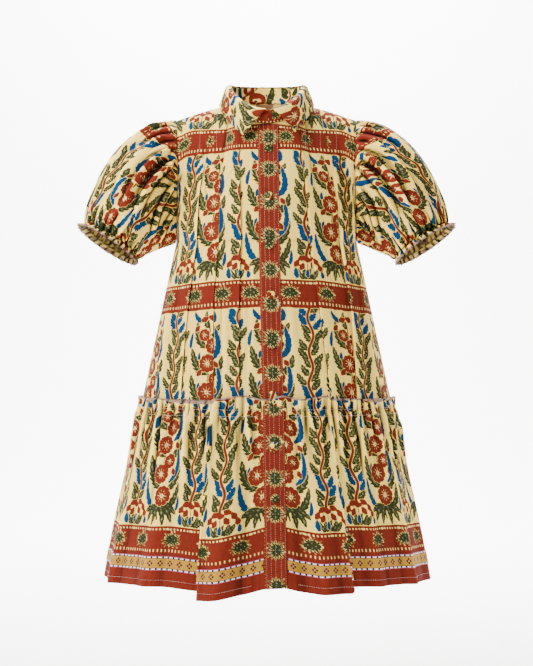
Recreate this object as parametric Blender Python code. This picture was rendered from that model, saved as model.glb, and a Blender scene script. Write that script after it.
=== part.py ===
"""A worn mini shirt dress: puff sleeves, shirt collar, tucked body, button placket and a gathered tier.

Metres, +Z up, the front faces -Y and the wearer's left is +X. The origin lies midway between the
two neck points of the shoulders, which carry the dress.
"""

import math

import bmesh
import bpy
import numpy as np
from mathutils import Vector

# Cloth and seams
WALL = 0.0015
SEAM_GAP = 0.0003
LAP_GAP = 0.0006
RIBBON_WALL = 0.0010

# Heights of the body's rows: row 0 is the top edge, 1 the underarm, 2 the tier's seam, 3 the hem
UNDERARM_Z = -0.250
SEAM_Z = -0.541
HEM_Z = -0.838

# One row for each level: half width, depth of the front, depth of the back
SECTIONS = (
    {"row": 1.0, "half_width": 0.1634, "front": 0.120, "back": 0.104},
    {"row": 2.0, "half_width": 0.2262, "front": 0.176, "back": 0.160},
    {"row": 3.0, "half_width": 0.2840, "front": 0.230, "back": 0.215},
)

# Neck and shoulders
NECK_HALF_WIDTH = 0.064
NECK_FRONT = (0.0, -0.070, -0.042)
NECK_BACK = (0.0, 0.060, 0.009)
SHOULDER_TIP = (0.162, 0.0, -0.029)
SHOULDER_RISE = 0.0022

# How the cloth leaves the shoulder seam, the neckline and the armhole's top on its way down, and how it reaches the
# underarm's level below them
SHOULDER_HANDLE = (0.0, -0.052, -0.024)
NECK_HANDLE = (0.0, -0.016, -0.060)
ARMHOLE_TOP_HANDLE = (-0.006, -0.058, -0.040)
CHEST_HANDLE = (0.0, 0.0, 0.085)
ARMHOLE_LOW_HANDLE = (-0.008, -0.050, 0.040)

# Angles round the body, from the front's or the back's middle
NECK_ANGLE = 33.0
SIDE_ANGLE = 90.0
BACK_ANGLE = 180.0
BACK_EDGE_ANGLE = 89.9999

# The front edge drifts to the wearer's left on its way down: angle in degrees for each row
FRONT_DRIFT = {"rows": (0.0, 1.0, 2.0, 3.0), "degrees": (0.8, 1.6, 3.0, 3.2)}

# Tucks sewn from the shoulder to the chest and released into pleats, angles in degrees from the front edge
PLEATS_RIGHT = (
    {"chest": 18.0, "waist": 16.6, "seam": 14.6, "depth": 0.0040},
    {"chest": 33.0, "waist": 30.8, "seam": 25.8, "depth": 0.0036},
    {"chest": 49.7, "waist": 47.3, "seam": 42.5, "depth": 0.0046},
)
PLEATS_LEFT = (
    {"chest": 23.5, "waist": 27.0, "seam": 27.5, "depth": 0.0042},
    {"chest": 36.5, "waist": 38.0, "seam": 37.0, "depth": 0.0010},
    {"chest": 51.4, "waist": 49.8, "seam": 42.4, "depth": 0.0044},
)
PLEATS_BACK = (
    {"chest": 18.0, "waist": 18.0, "seam": 17.0, "depth": 0.0040},
    {"chest": 34.0, "waist": 33.0, "seam": 31.0, "depth": 0.0036},
    {"chest": 51.0, "waist": 49.0, "seam": 46.0, "depth": 0.0040},
)
PLEAT_RELEASE_ROW = 0.42
PLEAT_WAIST_ROW = 1.35
PLEAT_STEP = 0.70
PLEAT_FADE = 11.0
TUCK_RIDGE = 0.0012

# Large soft folds of the tier: angle at the seam and at the hem, half width in degrees, height at the hem
FOLDS = (
    {"seam": -92.0, "hem": -96.0, "half": 9.0, "height": 0.010},
    {"seam": -66.0, "hem": -70.0, "half": 7.0, "height": 0.011},
    {"seam": -44.0, "hem": -47.0, "half": 7.0, "height": 0.009},
    {"seam": -17.0, "hem": -19.0, "half": 8.0, "height": 0.026},
    {"seam": 12.0, "hem": 17.0, "half": 8.0, "height": 0.018},
    {"seam": 37.0, "hem": 40.0, "half": 6.0, "height": 0.008},
    {"seam": 58.0, "hem": 61.0, "half": 7.0, "height": 0.011},
    {"seam": 82.0, "hem": 84.0, "half": 8.0, "height": 0.009},
    {"seam": 108.0, "hem": 106.0, "half": 9.0, "height": 0.012},
    {"seam": 132.0, "hem": 134.0, "half": 8.0, "height": 0.013},
    {"seam": 157.0, "hem": 157.0, "half": 8.0, "height": 0.011},
    {"seam": 181.0, "hem": 180.0, "half": 8.0, "height": 0.013},
    {"seam": 205.0, "hem": 204.0, "half": 8.0, "height": 0.011},
    {"seam": 231.0, "hem": 229.0, "half": 8.0, "height": 0.013},
)
GATHERS_ROUND = 80
GATHER_HEIGHT = 0.0034
HEADING_Z = -0.5245
HEADING_FLARE = 0.0028

# The hem dips at the sides, and under the front folds: angle and drop
HEM_SIDE_DROP = 0.011
HEM_DROPS = (
    {"angle": -19.0, "half": 10.0, "drop": 0.015},
    {"angle": 3.0, "half": 6.0, "drop": -0.003},
    {"angle": 17.0, "half": 11.0, "drop": 0.006},
)

# The ribbon sewn round the tier above its hem
RIBBON_TOP = 0.058
RIBBON_BOTTOM = 0.029

# Sleeve: the elastic's ring, and the frill below it
ELASTIC_CENTRE = (0.2769, -0.014, -0.2450)
ELASTIC_RADIUS = 0.0552
ELASTIC_TILT = 11.0
SLEEVE_OUT = (0.545, -0.838)
FRILL_LENGTH = 0.0115
FRILL_SHIFT = 0.0032
FRILL_FLARE = 0.0069
FRILL_WAVE = 0.0016
SLEEVE_COLUMNS = 44
SLEEVE_ROWS = (0.0, 0.07, 0.20, 0.38, 0.56, 0.74, 0.90, 1.0, 1.5, 2.0)

# Pleats at the sleeve's head, and gathers above its elastic
HEAD_PLEATS = (
    {"angle": -48.0, "height": 0.0030},
    {"angle": -26.0, "height": 0.0040},
    {"angle": -5.0, "height": 0.0045},
    {"angle": 17.0, "height": 0.0045},
    {"angle": 40.0, "height": 0.0036},
)
HEAD_PLEAT_HALF = 8.0
CUFF_GATHER = 0.0016

# Collar: heights of the stand, and the fold and outer edge of the fall
COLLAR_WALL = 0.0018
FOLD_SIDE = (0.0670, 0.002, 0.0370)
FOLD_BACK = (0.0, 0.0655, 0.0415)
FOLD_FRONT = (0.004, -0.0790, -0.0165)
FALL_SIDE = (0.0850, -0.004, -0.004)
FALL_BACK = (0.0, 0.0790, -0.002)
FALL_POINT_RIGHT = (0.0423, -0.0865, -0.0660)
FALL_POINT_LEFT = (0.0530, -0.0840, -0.0580)

# Placket and its buttons
PLACKET_HALF_WIDTH = 0.0180
BUTTON_RADIUS = 0.0078
BUTTON_HEIGHT = 0.0040
FIRST_BUTTON_Z = -0.088
BUTTON_SPACING = 0.0857
PLACKET_BUTTONS = 8
STAND_BUTTON_COLUMN = 47

COLOURS = {
    "cloth": (0.74, 0.60, 0.36, 1.0),
    "red": (0.45, 0.09, 0.05, 1.0),
    "mustard": (0.55, 0.36, 0.10, 1.0),
}


def clear_scene():
    for old in list(bpy.data.objects):
        bpy.data.objects.remove(old, do_unlink=True)


def smooth(t):
    t = np.clip(t, 0.0, 1.0)
    return t * t * (3.0 - 2.0 * t)


def bump(distance, half):
    """A round ridge that is 1 in its middle and 0 from its half width outwards."""
    return smooth(1.0 - np.abs(distance) / half)


def mix(a, b, t):
    return np.asarray(a) * (1.0 - t) + np.asarray(b) * t


def bezier(p0, p1, p2, p3, t):
    t = t[:, None]
    s = 1.0 - t
    return s**3 * p0 + 3 * s * s * t * p1 + 3 * s * t * t * p2 + t**3 * p3


def section(row, face):
    """Half width and depth of the body's round section at rows from 1 to 3."""
    rows = [level["row"] for level in SECTIONS]
    width = np.interp(row, rows, [level["half_width"] for level in SECTIONS])
    depth = np.interp(row, rows, [level[face] for level in SECTIONS])
    return width, depth


def height(row):
    return np.interp(row, (1.0, 2.0, 3.0), (UNDERARM_Z, SEAM_Z, HEM_Z))


def ring_point(angle, row, face):
    """Points on the body's section: angle 0 is the front's middle, 90 the wearer's left side."""
    width, depth = section(row, face)
    turn = np.radians(angle)
    return np.stack([width * np.sin(turn), -depth * np.cos(turn), height(row) + 0 * turn], axis=-1)


def top_edge(angle, face):
    """The neckline up to NECK_ANGLE, then the shoulder seam to its tip. The angle is from the face's middle."""
    neck = np.asarray(NECK_FRONT if face == "front" else NECK_BACK)
    turn = np.radians(np.clip(angle / NECK_ANGLE, 0.0, 1.0) * 90.0)
    rise = 1.0 - np.cos(turn)
    neckline = np.stack(
        [NECK_HALF_WIDTH * np.sin(turn), neck[1] * np.cos(turn), neck[2] * (1.0 - rise)], axis=-1
    )
    along = np.clip((angle - NECK_ANGLE) / (SIDE_ANGLE - NECK_ANGLE), 0.0, 1.0)[:, None]
    seam = mix(np.array([NECK_HALF_WIDTH, 0.0, 0.0]), np.asarray(SHOULDER_TIP), along)
    seam[:, 2] += SHOULDER_RISE * np.sin(math.pi * along[:, 0])
    return np.where((angle <= NECK_ANGLE)[:, None], neckline, seam)


def body_base(angle, row, face):
    """Smooth cloth surface of the body at these angles, 0 to 90 from the face's middle, for one row."""
    if row >= 1.0:
        points = ring_point(angle, row, "front" if face == "front" else "back")
    else:
        side = smooth((angle - 62.0) / 28.0)[:, None]
        middle = smooth(1.0 - angle / NECK_ANGLE)[:, None]
        top = top_edge(angle, "front" if face == "front" else "back")
        if face == "back":
            top[:, 1] *= -1.0
        chest = ring_point(angle, 1.0, face)
        top_handle = mix(SHOULDER_HANDLE, NECK_HANDLE, middle)
        top_handle = mix(top_handle, ARMHOLE_TOP_HANDLE, side)
        chest_handle = mix(CHEST_HANDLE, ARMHOLE_LOW_HANDLE, side)
        points = bezier(top, top + top_handle, chest + chest_handle, chest, np.full(len(angle), row))
    if face == "back":
        points = points * np.array([1.0, -1.0, 1.0])
    return points


def drift(angle, row):
    """The front's cloth is turned a little towards the wearer's left, most in the middle."""
    return angle + np.interp(row, FRONT_DRIFT["rows"], FRONT_DRIFT["degrees"]) * np.cos(np.radians(angle)) ** 2


def torso(turn, row):
    """Smooth surface and outward normals all round for one row; turn in degrees, -90 to 270, 0 at the front."""

    def at(where, level):
        front = np.abs(where) <= SIDE_ANGLE
        turned = np.where(front, drift(where, level), where)
        from_front = np.abs(turned)
        from_back = np.abs(BACK_ANGLE - where)
        points = np.where(
            front[:, None],
            body_base(np.clip(from_front, 0.0, SIDE_ANGLE), level, "front"),
            body_base(np.clip(from_back, 0.0, SIDE_ANGLE), level, "back"),
        )
        sign = np.where(front, np.sign(turned), np.sign(BACK_ANGLE - where))
        sign = np.where(sign == 0.0, 1.0, sign)
        points[:, 0] *= sign
        return points

    turn = np.asarray(turn, float)
    step = 0.05
    down = 0.004
    inside = np.where(np.abs(turn) <= SIDE_ANGLE, np.clip(turn, -SIDE_ANGLE + step, SIDE_ANGLE - step), turn)
    inside = np.where(np.abs(turn) > SIDE_ANGLE, np.clip(turn, SIDE_ANGLE + step, 270.0 - step), inside)
    low = max(row - down, 0.0)
    high = min(row + down, 3.0)
    around = at(inside + step, row) - at(inside - step, row)
    along = at(turn, high) - at(turn, low)
    normals = np.cross(along, around)
    normals /= np.linalg.norm(normals, axis=1)[:, None]
    return at(turn, row), normals


def pleat_knots(pleats, row):
    """Angles that the pleats' lines have in this row, from the middle to the side."""
    rows = (PLEAT_RELEASE_ROW, PLEAT_WAIST_ROW, 2.0)
    lines = [np.interp(row, rows, (p["chest"], p["waist"], p["seam"])) for p in pleats]
    return [0.0, *lines, SIDE_ANGLE]


def follow_pleats(columns, pleats, row):
    """Angles of the columns in this row, so that each column keeps its place between the pleats."""
    return np.interp(columns, [0.0, *(p["chest"] for p in pleats), SIDE_ANGLE], pleat_knots(pleats, row))


def pleat_height(columns, pleats, row):
    """How far the cloth stands out: each pleat's edge is high on its outer side and falls off to the next."""
    released = smooth((row - PLEAT_RELEASE_ROW) / 0.25) * smooth((1.97 - row) / 0.30)
    sewn = 1.0 - smooth((row - PLEAT_RELEASE_ROW) / 0.15)
    sewn = sewn * smooth(row / 0.12)
    out = np.zeros(len(columns))
    for pleat in pleats:
        past = columns - pleat["chest"]
        rise = smooth((past + PLEAT_STEP) / (2.0 * PLEAT_STEP))
        fall = smooth(1.0 - past / PLEAT_FADE)
        out += released * pleat["depth"] * rise * fall
        out += sewn * TUCK_RIDGE * rise * smooth(1.0 - past / 3.0)
    return out


def tier_height(turn, row):
    """Gathers that die out below the seam, and large folds that grow towards the hem."""
    share = np.clip(row - 2.0, 0.0, 1.0)
    wave = 0.5 + 0.5 * np.cos(np.radians(turn * GATHERS_ROUND))
    wave = wave * (0.75 + 0.25 * np.cos(np.radians(turn * 7.0 + 40.0)))
    out = GATHER_HEIGHT * wave * smooth(1.0 - share / 0.75) * (0.35 + 0.65 * smooth(share / 0.12))
    out = out * clear_of_placket(turn)
    for fold in FOLDS:
        middle = fold["seam"] + (fold["hem"] - fold["seam"]) * share
        away = (turn - middle + 180.0) % 360.0 - 180.0
        out += fold["height"] * bump(away, fold["half"]) * smooth(share / 0.9)
    return out


def clear_of_placket(turn):
    """The cloth lies flat under the placket, so its gathers and folds fade out there."""
    return smooth((np.abs(turn) - 6.7) / 3.0)


def hem_drop(turn):
    dips = sum(d["drop"] * bump(turn - d["angle"], d["half"]) for d in HEM_DROPS)
    return dips + HEM_SIDE_DROP * np.sin(np.radians(turn)) ** 4


def grid_normals(points, round_tube=False):
    """Unit normals of a grid of points, rows x columns x 3, that face outwards for rows that run down."""
    down = np.gradient(points, axis=0)
    if round_tube:
        across = np.roll(points, -1, axis=1) - np.roll(points, 1, axis=1)
    else:
        across = np.gradient(points, axis=1)
    normals = np.cross(down, across)
    return normals / np.maximum(np.linalg.norm(normals, axis=2), 1e-9)[:, :, None]


def flat_ways(normals):
    """The same directions without their upward share."""
    level = normals * np.array([1.0, 1.0, 0.0])
    return level / np.linalg.norm(level, axis=-1)[..., None]


def wall_object(name, outer, inner, colour, round_tube=False):
    """A closed wall between two grids of points, each rows x columns x 3."""
    rows, columns = outer.shape[:2]
    mesh = bmesh.new()
    out = [[mesh.verts.new(p) for p in line] for line in outer]
    back = [[mesh.verts.new(p) for p in line] for line in inner]
    last = columns if round_tube else columns - 1
    for j in range(last):
        k = (j + 1) % columns
        for i in range(rows - 1):
            mesh.faces.new((out[i][j], out[i + 1][j], out[i + 1][k], out[i][k]))
            mesh.faces.new((back[i][j], back[i][k], back[i + 1][k], back[i + 1][j]))
        mesh.faces.new((out[0][j], out[0][k], back[0][k], back[0][j]))
        mesh.faces.new((out[-1][j], back[-1][j], back[-1][k], out[-1][k]))
    if not round_tube:
        for i in range(rows - 1):
            mesh.faces.new((out[i][0], back[i][0], back[i + 1][0], out[i + 1][0]))
            mesh.faces.new((out[i][-1], out[i + 1][-1], back[i + 1][-1], back[i][-1]))
    bmesh.ops.recalc_face_normals(mesh, faces=mesh.faces)
    if mesh.calc_volume(signed=True) < 0.0:
        bmesh.ops.reverse_faces(mesh, faces=mesh.faces)
    return add_object(name, mesh, colour)


def add_object(name, mesh, colour):
    data = bpy.data.meshes.new(name)
    mesh.to_mesh(data)
    mesh.free()
    data.shade_smooth()
    data.set_sharp_from_angle(angle=math.radians(40.0))
    data.materials.append(materials[colour])
    obj = bpy.data.objects.new(name, data)
    collection.objects.link(obj)
    return obj


def make_material(name, colour):
    material = bpy.data.materials.new(name)
    material.use_nodes = True
    shader = material.node_tree.nodes["Principled BSDF"]
    shader.inputs["Base Color"].default_value = colour
    shader.inputs["Roughness"].default_value = 0.85
    shader.inputs["Metallic"].default_value = 0.0
    return material


# Body panels

FRONT_PLAIN = (0.0, 6.0, 12.0, NECK_ANGLE, 42.0, 58.0, 66.0, 74.0, 82.0, 90.0)
BACK_PLAIN = (0.0, 8.0, NECK_ANGLE, 42.0, 60.0, 70.0, 80.0, 90.0)
BODY_ROWS = (0.0, 0.10, 0.25, 0.42, 0.62, 0.82, 1.0, 1.3, 1.6, 1.85, 2.01)


def shoulder_up(side):
    """Both panels' walls hang from the shoulder seam like this, so that their edges lie side by side."""
    along = np.asarray(SHOULDER_TIP) - np.array([NECK_HALF_WIDTH, 0.0, 0.0])
    up = np.array([-side * along[2], 0.0, along[0]])
    return up / np.linalg.norm(up)


def panel_grid(columns, rows, table, face, side):
    """Outer points and wall directions of a panel's half. side is +1 for the wearer's left."""
    outer, ways = [], []
    for row in rows:
        angle = follow_pleats(columns, table, row)
        turn = side * angle if face == "front" else BACK_ANGLE - side * np.minimum(angle, BACK_EDGE_ANGLE)
        points, normals = torso(turn, row)
        points = points + normals * pleat_height(columns, table, row)[:, None]
        if row == rows[0]:
            on_seam = (angle > NECK_ANGLE - 0.01)[:, None]
            normals = np.where(on_seam, shoulder_up(side), normals)
        outer.append(points)
        ways.append(normals)
    return np.array(outer), np.array(ways)


def part_edges(outer, ways, ends, wall=WALL):
    """Draws a panel's edges back by half a seam gap and gives its outer and inner points."""
    moved = outer.copy()
    half = SEAM_GAP / 2.0
    if "first" in ends:
        step = outer[:, 1] - outer[:, 0]
        moved[:, 0] += half * step / np.linalg.norm(step, axis=1)[:, None]
    if "last" in ends:
        step = outer[:, -2] - outer[:, -1]
        moved[:, -1] += half * step / np.linalg.norm(step, axis=1)[:, None]
    if "top" in ends:
        step = outer[1] - outer[0]
        moved[0] += half * step / np.linalg.norm(step, axis=1)[:, None]
    return moved, moved - ways * wall


def pleat_columns(table, plain):
    """Column places: plain ones, and three at each pleat's edge."""
    places = set(plain)
    for pleat in table:
        places |= {pleat["chest"] - PLEAT_STEP, pleat["chest"] + PLEAT_STEP, pleat["chest"] + 5.0}
    return np.array(sorted(places))


def make_fronts():
    for name, side, table in (("front_left", 1.0, PLEATS_LEFT), ("front_right", -1.0, PLEATS_RIGHT)):
        columns = pleat_columns(table, FRONT_PLAIN)
        outer, ways = panel_grid(columns, BODY_ROWS, table, "front", side)
        outer, inner = part_edges(outer, ways, ("first", "last", "top"))
        wall_object(name, outer, inner, "cloth")


def make_back():
    columns = pleat_columns(PLEATS_BACK, BACK_PLAIN)
    left, left_ways = panel_grid(columns, BODY_ROWS, PLEATS_BACK, "back", 1.0)
    right, right_ways = panel_grid(columns, BODY_ROWS, PLEATS_BACK, "back", -1.0)
    outer = np.concatenate([left[:, ::-1], right[:, 1:]], axis=1)
    ways = np.concatenate([left_ways[:, ::-1], right_ways[:, 1:]], axis=1)
    outer, inner = part_edges(outer, ways, ("first", "last", "top"))
    wall_object("back", outer, inner, "cloth")


# Tier and ribbon

TIER_ROWS = (2.0, 2.10, 2.30, 2.56)
TIER_PANELS = (
    {"name": "front_left", "start": 0.0, "end": 90.0, "columns": 41},
    {"name": "front_right", "start": -90.0, "end": 0.0, "columns": 41},
    {"name": "back", "start": 90.0, "end": 270.0, "columns": 81},
)
PLACKET_EDGE_TURN = 3.9


def panel_turns(panel):
    """Even columns, with one moved to the placket's edge, where the ribbon ends."""
    turn = np.linspace(panel["start"], panel["end"], panel["columns"])
    if panel["start"] == 0.0:
        turn[1:3] = (PLACKET_EDGE_TURN / 2.0, PLACKET_EDGE_TURN)
    if panel["end"] == 0.0:
        turn[-3:-1] = (-PLACKET_EDGE_TURN, -PLACKET_EDGE_TURN / 2.0)
    return turn


def heading_line(turn):
    """The tier's top edge stands free above its seam and flares out in small waves."""
    row = 1.0 + (UNDERARM_Z - HEADING_Z) / (UNDERARM_Z - SEAM_Z)
    points, normals = torso(turn, row)
    wave = 0.0016 + HEADING_FLARE * (0.5 + 0.5 * np.cos(np.radians(turn * GATHERS_ROUND)))
    return points + flat_ways(normals) * (LAP_GAP + WALL + wave * clear_of_placket(turn))[:, None]


def tier_line(turn, row):
    points, normals = torso(turn, row)
    out = LAP_GAP + WALL + tier_height(turn, row)
    return points + flat_ways(normals) * out[:, None]


def tier_grid(turn_at):
    """The tier's outer points: the heading, the rows below its seam, both edges of the ribbon, and the hem.

    turn_at gives the columns' turns for a row.
    """
    above = tier_line(turn_at(TIER_ROWS[-1]), TIER_ROWS[-1])
    hem = tier_line(turn_at(3.0), 3.0)
    hem[:, 2] -= hem_drop(turn_at(3.0))
    length = np.linalg.norm(hem - above, axis=1)[:, None]
    ribbon = [mix(hem, above, level / length) for level in (RIBBON_TOP, RIBBON_BOTTOM)]
    lines = [heading_line(turn_at(2.0))] + [tier_line(turn_at(row), row) for row in TIER_ROWS]
    return np.array(lines + ribbon + [hem])


def tier_panel_grid(panel):
    """A panel's outer points and normals, worked out with one more column at each end."""
    turn = panel_turns(panel)
    wide = np.concatenate([[2.0 * turn[0] - turn[1]], turn, [2.0 * turn[-1] - turn[-2]]])
    grid = tier_grid(lambda row: wide)
    return grid[:, 1:-1], grid_normals(grid)[:, 1:-1]


def make_tier():
    for panel in TIER_PANELS:
        outer, ways = tier_panel_grid(panel)
        outer, inner = part_edges(outer, ways, ("first", "last"))
        wall_object("tier_" + panel["name"], outer, inner, "cloth")


def make_ribbon():
    """A flat ribbon all round, made from the tier's own points, moved out. It stops at the placket."""
    for panel in TIER_PANELS:
        grid, normals = tier_panel_grid(panel)
        on_tier, ways = grid[-3:-1], normals[-3:-1]
        if panel["start"] == 0.0:
            ways, on_tier = ways[:, 2:], on_tier[:, 2:]
        if panel["end"] == 0.0:
            ways, on_tier = ways[:, :-2], on_tier[:, :-2]
        outer = on_tier + ways * (SEAM_GAP + RIBBON_WALL)
        outer, inner = part_edges(outer, ways, ("first", "last"), RIBBON_WALL)
        wall_object("ribbon_" + panel["name"], outer, inner, "mustard")


# Placket and buttons

PLACKET_COLUMNS = (-1.0, -0.5, 0.0, 0.5, 1.0)
PLACKET_BODY_ROWS = (0.015, 0.10, 0.25, 0.42, 0.62, 0.82, 1.0, 1.3, 1.6, 1.85)


def across_front(row, offset):
    """The turn at which the front's surface lies this far to the side of the front edge."""
    turn = np.linspace(-30.0, 30.0, 241)
    points, _ = torso(turn, row)
    middle = np.interp(0.0, turn, points[:, 0])
    return np.interp(middle + np.asarray(offset), points[:, 0], turn)


def placket_grid():
    """Outer points from the neck to the hem: over the fronts first, then over the tier."""
    offsets = np.array(PLACKET_COLUMNS) * PLACKET_HALF_WIDTH
    lines = []
    for row in PLACKET_BODY_ROWS:
        points, normals = torso(across_front(row, offsets), row)
        lines.append(points + normals * (SEAM_GAP + WALL))
    tier = tier_grid(lambda row: across_front(row, offsets))
    lift = flat_ways(grid_normals(tier)) * (SEAM_GAP + WALL)
    return np.array(lines + list(tier + lift))


def make_placket():
    outer = placket_grid()
    ways = grid_normals(outer)
    wall_object("placket", outer, outer - ways * WALL, "red")


def make_button(name, place, way):
    """A round cloth-covered button with a domed top, on the face at this place."""
    turn = Vector(way).to_track_quat("Z", "Y")
    bpy.ops.mesh.primitive_uv_sphere_add(segments=16, ring_count=8, radius=1.0)
    button = bpy.context.object
    button.name = name
    button.data.name = name
    flat = bmesh.new()
    flat.from_mesh(button.data)
    cut = bmesh.ops.bisect_plane(
        flat, geom=flat.verts[:] + flat.edges[:] + flat.faces[:], plane_co=(0, 0, -0.2), plane_no=(0, 0, -1),
        clear_outer=True,
    )
    rim = [e for e in cut["geom_cut"] if isinstance(e, bmesh.types.BMEdge)]
    bmesh.ops.edgeloop_fill(flat, edges=rim)
    bmesh.ops.scale(flat, vec=(BUTTON_RADIUS, BUTTON_RADIUS, BUTTON_HEIGHT / 1.2), verts=flat.verts)
    bmesh.ops.translate(flat, vec=(0, 0, BUTTON_HEIGHT * 0.2 / 1.2), verts=flat.verts)
    bmesh.ops.recalc_face_normals(flat, faces=flat.faces)
    flat.to_mesh(button.data)
    flat.free()
    button.data.materials.append(materials["red"])
    button.location = Vector(place) + Vector(way) * SEAM_GAP
    button.rotation_euler = turn.to_euler()
    for other in list(button.users_collection):
        other.objects.unlink(button)
    collection.objects.link(button)


def make_buttons():
    """One button on the stand's right end, where it laps over the left, and the others down the placket."""
    stand, _ = stand_grid()
    ways = grid_normals(stand)
    end = STAND_BUTTON_COLUMN
    way = ways[1:4, end].mean(axis=0)
    way /= np.linalg.norm(way)
    place = mix(stand[2, end], stand[1, end], 0.3) + (stand[2, end + 1] - stand[2, end]) * 0.2
    bed = stand[:, end - 1 : end + 2].reshape(-1, 3)
    make_button("button_1", place + way * max((bed - place) @ way), way)
    middle = len(PLACKET_COLUMNS) // 2
    grid = placket_grid()
    ways = grid_normals(grid)[:, middle]
    line = grid[:, middle]
    heights = line[::-1, 2]
    for number in range(PLACKET_BUTTONS):
        z = FIRST_BUTTON_Z - number * BUTTON_SPACING
        under = z + BUTTON_RADIUS * np.linspace(-1.0, 1.0, 9)
        bed = np.stack([np.interp(under, heights, line[::-1, i]) for i in range(3)], axis=-1)
        way = np.array([np.interp(z, heights, ways[::-1, i]) for i in range(3)])
        way /= np.linalg.norm(way)
        place = bed[4] + way * max((bed - bed[4]) @ way)
        make_button(f"button_{number + 2}", place, way)


# Collar

STAND_RIGHT_END = 368.0
STAND_LEFT_END = -8.0
STAND_COLUMNS = 49
COLLAR_COLUMNS = 49
COLLAR_ENDS = (9.4, 359.0)


def neck_ring(turn):
    """The neckline's points, once round: 0 in front, 90 at the wearer's left, 180 behind."""
    turn = np.radians(turn)
    ahead = np.cos(turn)
    level = np.where(ahead > 0.0, NECK_FRONT[2], NECK_BACK[2]) * np.abs(ahead)
    depth = np.where(ahead > 0.0, NECK_FRONT[1], -NECK_BACK[1])
    return np.stack([NECK_HALF_WIDTH * np.sin(turn), depth * ahead, level], axis=-1)


def oval(turn, side, back, front):
    """A ring through a side point, a back point and a front point, mirrored to the other side."""
    angle = np.radians(turn)
    ahead = np.cos(angle)
    ends = np.where((ahead > 0.0)[:, None], np.asarray(front), np.asarray(back))
    share = np.abs(ahead)[:, None]
    out = np.stack([side[0] * np.sin(angle), side[1] + (ends[:, 1] - side[1]) * share[:, 0], 0 * angle], axis=-1)
    out[:, 2] = side[2] + (ends[:, 2] - side[2]) * share[:, 0] ** 1.35
    return out


def lap_lift(turn):
    """The stand's right end lies on top of its left end."""
    return (SEAM_GAP + WALL) * smooth((turn - 325.0) / 22.0)


def stand_grid():
    turn = np.linspace(STAND_LEFT_END, STAND_RIGHT_END, STAND_COLUMNS)
    bottom = neck_ring(turn)
    bottom[:, 2] += SEAM_GAP + 0.0008
    top = oval(turn, FOLD_SIDE, FOLD_BACK, FOLD_FRONT)
    top[:, 2] -= COLLAR_WALL + SEAM_GAP + 0.0006
    top *= np.array([0.975, 0.975, 1.0])
    outward = bottom * np.array([1.0, 1.0, 0.0])
    outward /= np.linalg.norm(outward, axis=1)[:, None]
    lines = [mix(bottom, top, t) + outward * (lap_lift(turn) + 0.0015 * math.sin(math.pi * t))[:, None]
             for t in (1.0, 0.67, 0.33, 0.0)]
    return np.array(lines), outward


def make_collar_stand():
    outer, outward = stand_grid()
    wall_object("collar_stand", outer, outer - outward * WALL, "cloth")


def body_samples():
    """A dense set of points and normals on the body's upper half, for laying the collar on it."""
    turn = np.concatenate([np.linspace(-89.0, 89.0, 90), np.linspace(91.0, 269.0, 90)])
    rows = [torso(turn, row) for row in np.linspace(0.0, 0.7, 36)]
    return np.concatenate([r[0] for r in rows]), np.concatenate([r[1] for r in rows])


def lay_on_body(points, clearance):
    """Points that would lie in the body, or too close above it, are moved out along its nearest normal."""
    near, normals = body_samples()
    flat = points.reshape(-1, 3)
    gaps = np.linalg.norm(flat[:, None] - near[None], axis=2)
    nearest = gaps.argmin(axis=1)
    above = ((flat - near[nearest]) * normals[nearest]).sum(axis=1)
    push = np.clip(clearance - above, 0.0, None) * (gaps.min(axis=1) < 0.05)
    return (flat + normals[nearest] * push[:, None]).reshape(points.shape)


def fall_edge(turn):
    """The fall's outer edge: its two points in front, the shoulders at the sides, and the back."""
    point = np.where((turn < 180.0)[:, None], np.asarray(FALL_POINT_LEFT), np.asarray(FALL_POINT_RIGHT))
    ahead = np.clip(np.cos(np.radians(turn)), 0.0, 1.0)[:, None]
    ring = oval(turn, FALL_SIDE, FALL_BACK, (0.0, FALL_POINT_RIGHT[1], FALL_POINT_RIGHT[2]))
    sign = np.where(turn < 180.0, 1.0, -1.0)[:, None]
    point = point * np.hstack([sign, np.ones_like(sign), np.ones_like(sign)])
    return mix(ring, point, ahead**2.2)


def make_collar():
    turn = np.linspace(COLLAR_ENDS[0], COLLAR_ENDS[1], COLLAR_COLUMNS)
    crest = oval(turn, FOLD_SIDE, FOLD_BACK, FOLD_FRONT)
    outward = crest * np.array([1.0, 1.0, 0.0])
    outward /= np.linalg.norm(outward, axis=1)[:, None]
    lift = lap_lift(turn)[:, None] * outward
    edge = fall_edge(turn)
    inside = crest - outward * 0.0030 + lift
    shoulder = crest + outward * 0.0030 + lift - np.array([0.0, 0.0, 0.0012])
    middle = mix(crest, edge, 0.40) + outward * 0.0040 + lift * 0.5
    low = mix(crest, edge, 0.72) + outward * 0.0030
    lines = [inside, shoulder, middle, low, edge]
    outer = np.array(lines)
    outer[2:] = lay_on_body(outer[2:], COLLAR_WALL + SEAM_GAP + 0.0022)
    ways = grid_normals(outer)
    wall_object("collar", outer, outer - ways * COLLAR_WALL, "cloth")
    make_collar_stand()


# Sleeves

SLEEVE_HANDLES = {
    "top": ((0.080, 0.000, 0.004), (-0.003, 0.000, 0.092)),
    "front": ((0.035, -0.050, 0.016), (-0.022, -0.036, 0.056)),
    "under": ((0.018, 0.000, -0.008), (-0.020, 0.000, 0.006)),
    "back": ((0.035, 0.046, 0.016), (-0.022, 0.036, 0.056)),
}


def armhole(turn):
    """The armhole's points and the body's normals there: 0 at the shoulder tip, 90 in front, 180 underneath."""
    points, normals = [], []
    for angle in turn:
        row = 1.0 - abs(angle - 180.0) / 180.0
        face = SIDE_ANGLE if angle <= 180.0 else BACK_ANGLE - BACK_EDGE_ANGLE
        place, normal = torso(np.array([face]), row)
        points.append(place[0])
        normals.append(normal[0])
    return np.array(points), np.array(normals)


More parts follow.
